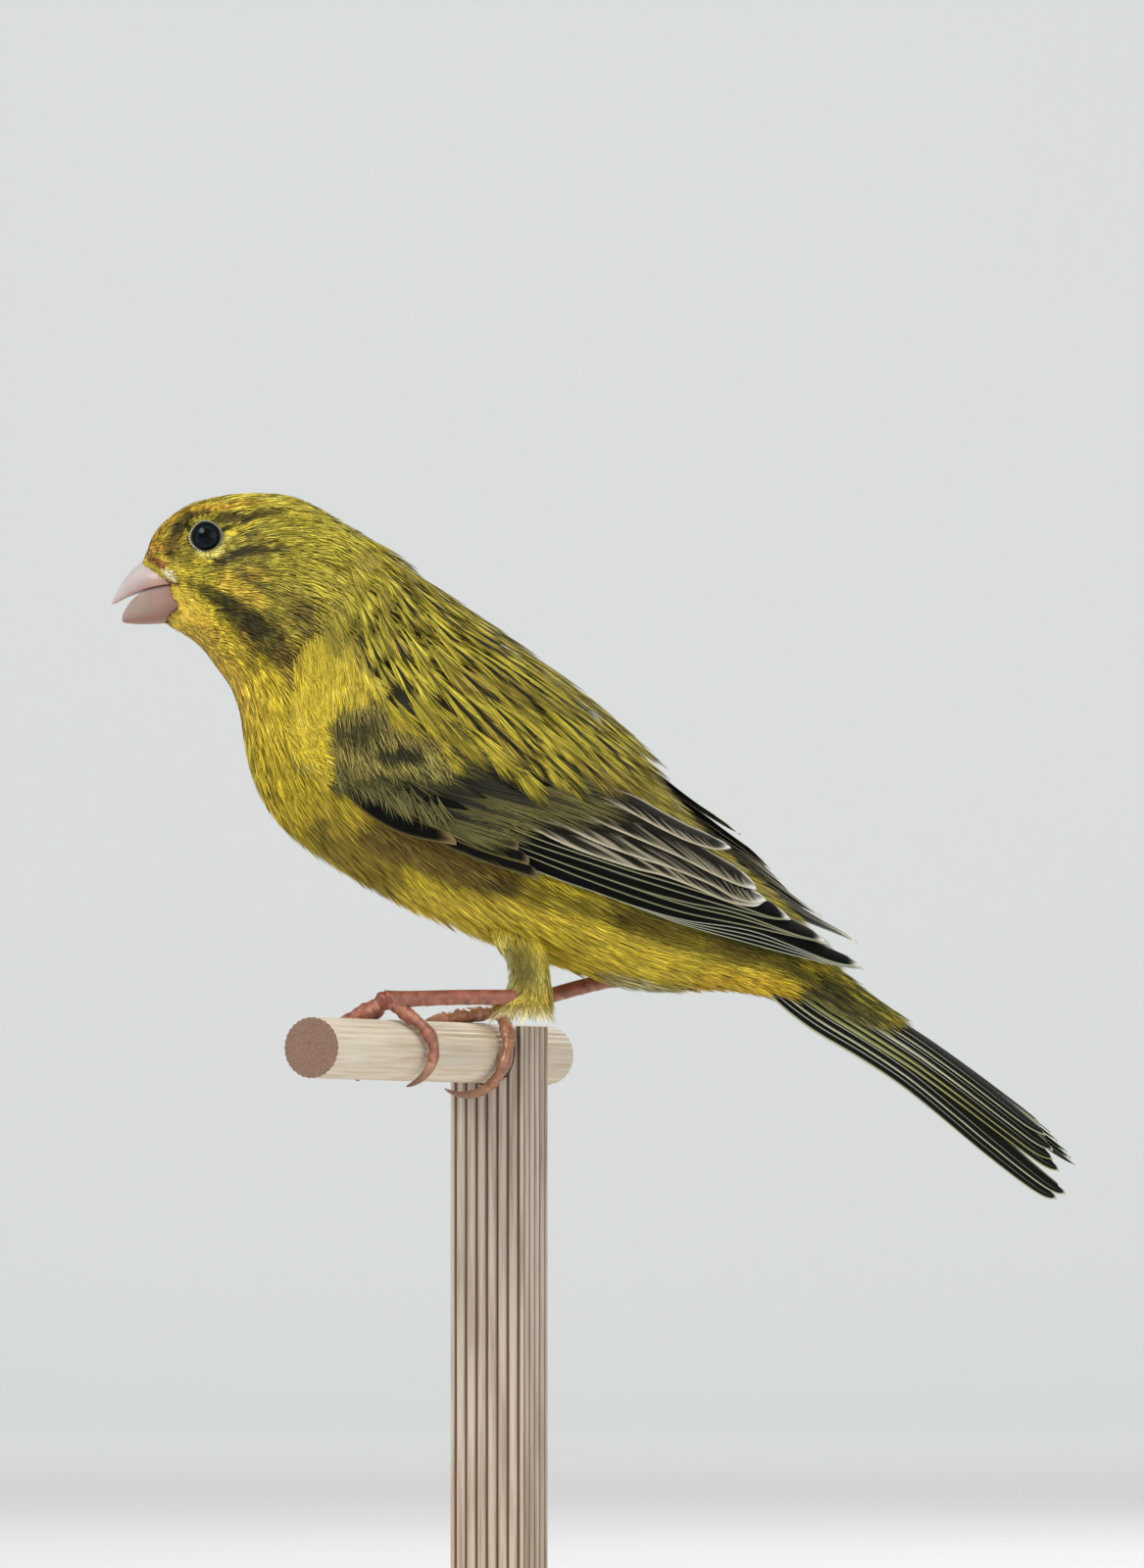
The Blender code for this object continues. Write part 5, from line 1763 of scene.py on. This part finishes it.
def build_eyeball(side, sign, centre):
    """The ball, with a flatter iris and clear black pupil by tint. The iris ring's blue-grey is partly its
    own dark colour and partly painted reflection.
    """
    polar, turn = np.meshgrid(np.linspace(0.001, math.pi - 0.001, 60), circle(72), indexing="ij")
    bulge = EYE_RADIUS + 0.10 * np.exp(-((polar / 0.45) ** 2))
    out = [np.sin(polar) * np.cos(turn), sign * np.cos(polar), np.sin(polar) * np.sin(turn)]
    points, faces = outward_tube(centre + bulge[..., None] * np.stack(out, axis=-1), centre)
    reach = eye_reach(points)
    iris_and_sheen = (1 - smooth(1.32, 1.5, reach)) * smooth(0.9, 1.02, reach)
    # the dark iris ring is tinted blue-grey as painted reflection
    colour = blend(paint(2, 3, 5), paint(14, 22, 30), iris_and_sheen)
    gloss = {"Roughness": 0.03, "IOR": 1.38, "Specular IOR Level": 0.18}
    made = tinted(f"eye_{side}_gloss", 3000.0, 0.7, 1.3, gloss)[0]
    finish_piece(new_mesh(f"eyeball_{side}", points, faces, made, colour), "eye", f"eye_{side}")


def build_lid(side, sign, centre):
    """An oval ring of beads round the opening, dark inside and palest below."""
    ring, tube = np.meshgrid(circle(288), np.linspace(0, 2 * math.pi, 20, endpoint=False), indexing="ij")
    beads = 0.5 + 0.5 * np.cos(ring * 36)
    radius = 0.13 + 0.05 * beads
    oval = 1.01 + 0.045 * np.cos(2 * (ring - 0.35))

    def hoop(away, high):
        place = np.stack([away * oval * np.cos(ring), sign * high, away / oval * np.sin(ring)], axis=-1)
        return (centre + place).reshape(-1, 3)

    points = hoop(LID_WIDTH + radius * np.cos(tube) * 1.15, LID_SEAT + 0.02 + radius * np.sin(tube))
    core = hoop(LID_WIDTH, LID_SEAT + 0 * ring)
    faces = outward(points, grid_faces(289, 20, wrap=True) % len(points), points - core)
    inner = smooth(0.45, -0.2, np.cos(tube) - 0.3 * np.sin(tube))
    below = smooth(0.4, -0.9, np.sin(ring + 0.5))
    tone = blend(paint(120, 122, 112), paint(226, 228, 214), beads * (0.3 + 0.7 * below))
    tone = blend(tone, paint(14, 14, 13), inner).reshape(-1, 3)
    made = tinted(f"lid_{side}_skin", 2500.0, 0.8, 1.15, {"Roughness": 0.45})[0]
    finish_piece(new_mesh(f"lid_{side}", points, faces, made, tone), "leg_skin")


def build_lid_skin(side, sign, centre):
    """A thin plate of skin that runs from under the lid out to the feathered skin."""
    rows, sides, thick = 12, 96, 0.12
    ring, out = np.meshgrid(circle(sides), np.linspace(0, 1, rows), indexing="xy")
    level = 0.05 - 0.45 * smooth(0.5, 1.0, out)
    front = eye_dome(sign)(LID_WIDTH - 0.1 + 1.9 * out, ring, level).reshape(-1, 3)
    points = np.concatenate([front, front - np.array([0.0, sign * thick, 0.0])])
    over = outward(front, grid_faces(rows, sides, wrap=True), np.broadcast_to((0.0, sign, 0.0), front.shape))
    faces = [over, over[:, ::-1] + len(front)]
    for row, ahead in ((0, centre - points), (rows - 1, points - centre)):
        here = np.arange(sides) + row * sides
        after = np.roll(here, -1)
        wall = np.stack([here, after, after + len(front), here + len(front)], axis=1)
        faces.append(outward(points, wall, ahead))
    shade = np.tile(marking(front) * 0.3, (2, 1))
    piece = new_mesh(f"lid_skin_{side}", points, np.concatenate(faces), feather_material(), shade)
    finish_piece(piece, "green_plumage")


def build_eye(side):
    """The eyeball, its lid and the skin round them, on one side."""
    sign = -1 if side == "left" else 1
    centre = EYE * np.array([1, sign, 1])
    for build in (build_eyeball, build_lid, build_lid_skin):
        build(side, sign, centre)


# Bill halves, from inside the face to the tip: x, z of the ridge, x, z of the cutting edge,
# and the half width.
BILL = {
    "bill_upper": (
        (-51.5, 142.6, -49.6, 138.1, 3.9),
        (-54.4, 142.0, -51.2, 138.15, 4.1),
        (-57.0, 140.75, -54.3, 137.8, 3.7),
        (-58.75, 138.95, -56.4, 137.35, 2.75),
        (-59.8, 137.2, -58.4, 136.6, 1.55),
        (-60.33, 136.1, -59.8, 135.85, 0.65),
        (-60.46, 135.68, -60.4, 135.58, 0.12),
    ),
    "bill_lower": (
        (-51.3, 133.6, -49.6, 138.0, 3.75),
        (-52.4, 133.35, -51.4, 138.1, 3.8),
        (-54.6, 133.2, -54.0, 137.85, 3.35),
        (-56.5, 133.15, -56.1, 137.35, 2.55),
        (-57.9, 133.2, -57.8, 136.2, 1.65),
        (-58.85, 133.35, -58.85, 134.7, 0.85),
        (-59.15, 133.6, -59.15, 133.95, 0.2),
    ),
}


def bill_colour(name, along, drop):
    """Pink horn, paler at the tip and redder at the face, by the share of the way along to the
    tip and of the drop from ridge to edge."""
    pink = paint(164, 140, 132)
    if name == "bill_upper":
        red = (1 - smooth(0.12, 0.5, along)) * smooth(0.2, 0.8, drop)
        base = blend(pink, paint(184, 176, 180), (1 - drop) * 0.9)
        base = blend(base, paint(176, 122, 104), smooth(0.75, 1.0, drop) * 0.55)
        base = blend(base, paint(168, 112, 92), red * 0.6)
    else:
        base = blend(pink * 0.86, paint(154, 98, 76), (1 - smooth(0.0, 0.45, drop)) * 0.75)
        base = blend(base, paint(150, 134, 128), smooth(0.45, 0.95, drop) * 0.6)
        base = blend(base, paint(146, 96, 82), (1 - smooth(0.2, 0.6, along)) * 0.6)
    return blend(base, paint(214, 196, 184), smooth(0.86, 1.0, along) * 0.6)


def build_bill():
    """Each half runs through stations from ridge to cutting edge. Down each side its width
    grows from the ridge by one less a power of the share left, then it turns in under the
    sharp edge and hollows slightly towards the middle."""
    horn = translucent(0.36, 0.35, (1.0, 0.45, 0.4), 0.0012)
    made, tree, shader, place = tinted("bill_horn_layered", 500.0, 0.9, 1.07, horn)
    bump(tree, shader, grain(tree, place, 1800.0, 5.0), 0.1, 0.00008)
    rows, half = 72, 30
    share = np.linspace(0, 1, rows) ** 0.9
    side = np.linspace(0, 1, half)
    down = np.minimum(side / 0.7, 1)
    under = np.clip((side - 0.7) / 0.3, 0, 1)
    for name, stations in BILL.items():
        keys = spline(stations, share * (len(stations) - 1))
        ridge_x, ridge_z, edge_x, edge_z, wide = np.moveaxis(keys, -1, 0)
        power = 2.1 if name == "bill_upper" else 2.6
        out = (1 - (1 - down) ** power) ** 0.62 * (1 - under)
        level = down - 0.10 * np.sin(under * math.pi / 2)
        level = np.concatenate([level, level[-2:0:-1]])
        out = np.concatenate([out, -out[-2:0:-1]])
        x = ridge_x[:, None] + (edge_x - ridge_x)[:, None] * level
        z = ridge_z[:, None] + (edge_z - ridge_z)[:, None] * level
        points = np.stack([x, wide[:, None] * out[None] * -1, z], axis=-1)
        flat, faces = outward_tube(points, points.mean(axis=1))
        along = np.concatenate([[0], share, [1]]).repeat(points.shape[1])
        colour = bill_colour(name, along, np.tile(level, rows + 2))
        finish_piece(new_mesh(name + "_horn", flat, faces, made, colour), "bill_horn", name)


def build_claws():
    """Each claw: a curved, flattened cone that carries on along its toe's course."""
    horn = translucent(0.25, 0.2, (0.8, 0.5, 0.3), 0.0008)
    made = tinted("claw_horn_clear", 1500.0, 0.85, 1.1, horn)[0]
    share = np.linspace(0, 1, 40)[:, None]
    turn = circle(16)[None]
    radius = (0.66 * (1 - share) ** 0.6 + 0.04) * (1 - 0.2 * np.sin(turn) ** 2)
    for side, foot in TOES.items():
        for digit, toe in foot.items():
            path, _ = resample(toe_path(toe, BALLS[side]), 1 - toe[3], 1, len(share))
            points, faces = limb(path, radius)
            along = padded(share, points, radius.shape[1])
            colour = blend(paint(172, 128, 102), paint(120, 90, 72), along)
            piece = new_mesh(f"claw_{digit}_{side}_horn", points, faces, made, colour)
            finish_piece(piece, "claw_horn", f"claw_{digit}_{side}")


# ---------------- wood


def mapped(tree, place, change, amount):
    """The place turned or scaled by an amount for each axis."""
    inputs = {"Vector": place, change: amount}
    return node(tree, "ShaderNodeMapping", inputs, vector_type="POINT").outputs["Vector"]


def reckoned(tree, operation, one, other):
    """A sum of two values, by the name of the operation."""
    return node(tree, "ShaderNodeMath", {0: one, 1: other}, operation=operation).outputs[0]


def wood_material(name, light, dark, turn, stretch, grooves=(), flute_shade=None, end=None):
    """Softwood: fibres are noise drawn out along the grain after turning the object's
    coordinates. Each groove paints shade into the bottoms of flutes across one axis, end colours one cut
    face."""
    made, tree, shader = material(name)
    place = node(tree, "ShaderNodeTexCoord").outputs["Object"]
    turned = mapped(tree, place, "Rotation", turn)
    long = mapped(tree, turned, "Scale", stretch)
    fibre = grain(tree, long, 1700.0, 6.0, Roughness=0.6)
    bands = ranged(tree, grain(tree, long, 330.0), 0.35, 0.65, 0.84, 1.04)
    colour = mixed(tree, 1.0, ramp(tree, fibre, 0.30, dark, 0.56, light), bands, "MULTIPLY")
    parts = node(tree, "ShaderNodeSeparateXYZ", {"Vector": turned}).outputs
    # painted shade darkens the bottom of each flute
    for axis, start, pitch in grooves:
        cycle = reckoned(tree, "PINGPONG", reckoned(tree, "SUBTRACT", parts[axis], start), pitch)
        colour = mixed(tree, ranged(tree, cycle, 0.6 * pitch, 0.9 * pitch, 0.0, 1.0), colour, (*flute_shade, 1))
    if end:
        limit, tone = end
        face = reckoned(tree, "LESS_THAN", parts["Y"], limit)
        cut = ramp(tree, grain(tree, place, 4200.0, 4.0), 0.25, tone * 0.7, 0.75, tone * 1.4)
        colour = mixed(tree, face, colour, cut)
    tree.links.new(colour, shader.inputs["Base Color"])
    shader.inputs["Roughness"].default_value = 0.6
    bump(tree, shader, fibre, 0.3, 0.0001)
    return made


DOWEL_NEAR = -49.6  # the dowel's front end, along it from the post
POST_SIZES, FLUTES = (10.4, 7.0), (7, 5)  # across the dowel, then along it


def build_wood():
    """Fibres run along the dowel and up the post, whose flutes carry painted shade at the
    bottom. The dowel's front end is stained brown by its cut fibres."""
    turn = (0.0, 0.0, DOWEL_TURN)
    end = (MM * (float(DOWEL_AT_POST @ DOWEL_DIR) + DOWEL_NEAR + 0.1), paint(116, 88, 74))
    light, dark = paint(230, 219, 202), paint(206, 186, 158)
    dowel = wood_material("dowel_wood", light, dark, turn, (1.0, 0.04, 1.0), end=end)
    grooves = []
    for axis, across, size, flutes in zip("XY", (DOWEL_REAR, DOWEL_DIR), POST_SIZES, FLUTES):
        grooves.append((axis, MM * (float(DOWEL_AT_POST @ across) - size / 2), MM * size / flutes / 2))
    # the last of these colours is painted shade for the bottoms of the post's flutes
    light, dark, flute_shade = paint(198, 185, 172), paint(150, 130, 115), paint(84, 60, 46)
    post = wood_material("post_wood", light, dark, turn, (1.0, 1.0, 0.03), grooves, flute_shade)
    light, dark = paint(214, 196, 170), paint(184, 156, 124)
    base = wood_material("base_wood_turned", light, dark, turn, (0.05, 1.0, 1.0))
    for name, finish in (("perch_dowel", dowel), ("stand_post", post), ("stand_base", base)):
        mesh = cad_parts[name].data
        mesh.materials.clear()
        mesh.materials.append(finish)


# ---------------- stage


SWEEP_HALF_WIDTH, SWEEP_FRONT, SWEEP_DEPTH = 4000, -2800, 5800  # mm, the flat part of the floor
SWEEP_BEND, SWEEP_HEIGHT = 900, 3000  # mm, the bend's radius and the wall over it

MIDDLE_OF_BIRD = (-0.005, 0.0, 0.11)
# Name, place, aim, size, share of the key light's power, colour.
LIGHTS = (
    ("key_light", (-0.55, -0.75, 0.85), MIDDLE_OF_BIRD, 0.6, 1.0, (1.0, 0.98, 0.95)),
    ("fill_light", (0.75, -0.85, 0.30), MIDDLE_OF_BIRD, 0.9, 0.30, (0.98, 0.98, 0.96)),
    ("rim_light", (0.35, 0.75, 0.75), MIDDLE_OF_BIRD, 0.6, 0.45, (1.0, 1.0, 1.0)),
    ("wall_light", (0.0, 1.7, 2.6), (0.0, 4.0, 1.4), 1.8, 3.8, (1.0, 1.0, 1.0)),
)


def place_and_aim(made, place, direction):
    """Puts a light or camera at its place, looking in a direction."""
    made.location = place
    made.rotation_mode = "QUATERNION"
    made.rotation_quaternion = direction.to_track_quat("-Z", "Y")
    bpy.context.scene.collection.objects.link(made)


def build_sweep(colour):
    """A pale floor that curves up into a wall."""
    rows, columns = 9, 60
    across = np.linspace(-SWEEP_HALF_WIDTH, SWEEP_HALF_WIDTH, rows)
    x, u = np.meshgrid(across, np.linspace(0, 1, columns), indexing="ij")
    bend = np.clip((u - 0.4) / 0.35, 0, 1) * math.pi / 2
    flat = np.minimum(u, 0.4) / 0.4
    y = SWEEP_FRONT + SWEEP_DEPTH * flat + SWEEP_BEND * np.sin(bend)
    z = SWEEP_BEND * (1 - np.cos(bend)) + SWEEP_HEIGHT * np.clip((u - 0.75) / 0.25, 0, 1)
    points = np.stack([x, y, z], axis=-1).reshape(-1, 3)
    made, tree, shader = material("studio_paper")
    place = node(tree, "ShaderNodeTexCoord").outputs["Object"]
    base = np.array(colour)
    paper = ramp(tree, grain(tree, place, 2.0, 2.0), 0.0, base * 0.97, 1.0, base)
    tree.links.new(paper, shader.inputs["Base Color"])
    shader.inputs["Roughness"].default_value = 0.9
    ahead = np.broadcast_to(np.array([0.0, -1.0, 1.0]), points.shape)
    new_mesh("studio_sweep", points, outward(points, grid_faces(rows, columns), ahead), made)


def build_lights(key_watts, air_strength):
    """Three soft lights on the bird, one on the wall, and an even light from all round."""
    for name, place, aim, size, share, colour in LIGHTS:
        data = bpy.data.lights.new(name, "AREA")
        data.shape = "DISK"
        data.size = size
        data.energy = key_watts * share
        data.color = colour
        made = bpy.data.objects.new(name, data)
        place_and_aim(made, place, Vector(aim) - Vector(place))
    world = bpy.data.worlds.new("studio_air")
    world.use_nodes = True
    air = world.node_tree.nodes["Background"]
    air.inputs["Color"].default_value = (0.90, 0.90, 0.86, 1)
    air.inputs["Strength"].default_value = air_strength
    bpy.context.scene.world = world


def build_stage(settings):
    """The sweep of paper, the lights and the camera."""
    build_sweep(settings.floor_colour)
    build_lights(settings.key_watts, settings.air_strength)
    bpy.context.scene.view_settings.view_transform = "Standard"
    data = bpy.data.cameras.new("camera")
    data.lens = settings.lens
    data.sensor_width = 36.0
    data.clip_start, data.clip_end = 0.05, 30.0
    camera = bpy.data.objects.new("camera", data)
    rise = math.radians(settings.camera_rise)
    back = Vector((0.0, -math.cos(rise), math.sin(rise)))
    place_and_aim(camera, Vector(settings.aim) + back * settings.camera_distance, -back)
    bpy.context.scene.camera = camera


# ---------------- add-on


class CanaryPlumage(bpy.types.PropertyGroup):
    """Sizes of the plumage."""

    head_barbs: IntProperty(name="Head barbs", description="Barbs in each head feather", default=10, min=3)
    body_barbs: IntProperty(name="Body barbs", description="Barbs in each body feather", default=18, min=3)
    covert_scale: FloatProperty(name="Covert barbs", description="Share of the barbs", default=1.0, min=0.1)


class CanaryStudio(bpy.types.PropertyGroup):
    """Lights, floor and camera."""

    key_watts: FloatProperty(name="Key light", description="The main light", default=10.5, unit="POWER")
    air_strength: FloatProperty(name="Air light", description="Light from all round", default=0.72)
    floor_colour: FloatVectorProperty(
        name="Floor", description="Colour of the paper", default=(0.66, 0.68, 0.69), subtype="COLOR"
    )
    camera_distance: FloatProperty(name="Distance", description="Camera to bird", default=1.6, unit="LENGTH")
    camera_rise: FloatProperty(name="Rise", description="Camera over the bird, in degrees", default=-2.2)
    lens: FloatProperty(name="Lens", description="Focal length", default=293.0, unit="CAMERA")
    aim: FloatVectorProperty(
        name="Aim",
        description="Middle of the view",
        default=(-0.0027, 0.0, 0.1131),
        subtype="XYZ",
        unit="LENGTH",
    )


class CANARY_OT_skin(bpy.types.Operator):
    """Makes the one skin of head, trunk, wing arms, thighs, legs and feet"""

    bl_idname = "canary.skin"
    bl_label = "Skin"

    def execute(self, context):
        build_skin()
        return {"FINISHED"}


class CANARY_OT_coat(bpy.types.Operator):
    """Makes the head, neck, trunk, mantle and thigh feathers"""

    bl_idname = "canary.coat"
    bl_label = "Body coat"

    def execute(self, context):
        plumage = context.scene.canary_plumage
        build_head_coat(plumage.head_barbs)
        build_body_coat(plumage.body_barbs)
        build_mantle(plumage.body_barbs + 20)
        build_thigh_coat(plumage.body_barbs)
        return {"FINISHED"}


class CANARY_OT_wings(bpy.types.Operator):
    """Makes both folded wings: flight feathers, coverts and the fringe over the shoulder"""

    bl_idname = "canary.wings"
    bl_label = "Wings"

    def execute(self, context):
        scale = context.scene.canary_plumage.covert_scale
        for side in ("left", "right"):
            feathers = stack_feathers(side) + tertial_feathers() + small_quills()
            add_vanes(f"flight_feathers_{side}", feathers, fold, side, "dark_plumage")
            add_coverts(side, scale)
            add_shoulder_fringe(side, scale)
        return {"FINISHED"}


class CANARY_OT_tail(bpy.types.Operator):
    """Makes the twelve tail feathers"""

    bl_idname = "canary.tail"
    bl_label = "Tail"

    def execute(self, context):
        build_tail()
        return {"FINISHED"}


class CANARY_OT_eyes(bpy.types.Operator):
    """Makes the eyeballs and their beaded lids"""

    bl_idname = "canary.eyes"
    bl_label = "Eyes"

    def execute(self, context):
        for side in ("left", "right"):
            build_eye(side)
        return {"FINISHED"}


class CANARY_OT_horn(bpy.types.Operator):
    """Makes the bill and the claws"""

    bl_idname = "canary.horn"
    bl_label = "Bill and claws"

    def execute(self, context):
        build_bill()
        build_claws()
        return {"FINISHED"}


class CANARY_OT_wood(bpy.types.Operator):
    """Gives the perch, post and base their wood"""

    bl_idname = "canary.wood"
    bl_label = "Perch and stand"

    def execute(self, context):
        build_wood()
        return {"FINISHED"}


class CANARY_OT_stage(bpy.types.Operator):
    """Makes the floor, lights and camera"""

    bl_idname = "canary.stage"
    bl_label = "Stage"

    def execute(self, context):
        build_stage(context.scene.canary_studio)
        return {"FINISHED"}


class CANARY_PT_panel(bpy.types.Panel):
    """Lists the canary's pieces and sizes"""

    bl_idname = "CANARY_PT_panel"
    bl_label = "Canary"
    bl_space_type = "VIEW_3D"
    bl_region_type = "UI"
    bl_category = "Canary"

    def draw(self, context):
        for group in (context.scene.canary_plumage, context.scene.canary_studio):
            for name in group.bl_rna.properties.keys():
                if name not in ("name", "rna_type"):
                    self.layout.prop(group, name)
        for operator in OPERATORS:
            self.layout.operator(operator.bl_idname)


OPERATORS = (
    CANARY_OT_skin,
    CANARY_OT_coat,
    CANARY_OT_wings,
    CANARY_OT_tail,
    CANARY_OT_eyes,
    CANARY_OT_horn,
    CANARY_OT_wood,
    CANARY_OT_stage,
)
CLASSES = (CanaryPlumage, CanaryStudio, *OPERATORS, CANARY_PT_panel)


def register():
    for one in CLASSES:
        bpy.utils.register_class(one)
    bpy.types.Scene.canary_plumage = PointerProperty(type=CanaryPlumage)
    bpy.types.Scene.canary_studio = PointerProperty(type=CanaryStudio)


def unregister():
    del bpy.types.Scene.canary_studio
    del bpy.types.Scene.canary_plumage
    for one in reversed(CLASSES):
        bpy.utils.unregister_class(one)


def main():
    register()
    bpy.ops.canary.skin()
    bpy.ops.canary.coat()
    bpy.ops.canary.wings()
    bpy.ops.canary.tail()
    bpy.ops.canary.eyes()
    bpy.ops.canary.horn()
    bpy.ops.canary.wood()
    bpy.ops.canary.stage()


if __name__ == "__main__":
    main()
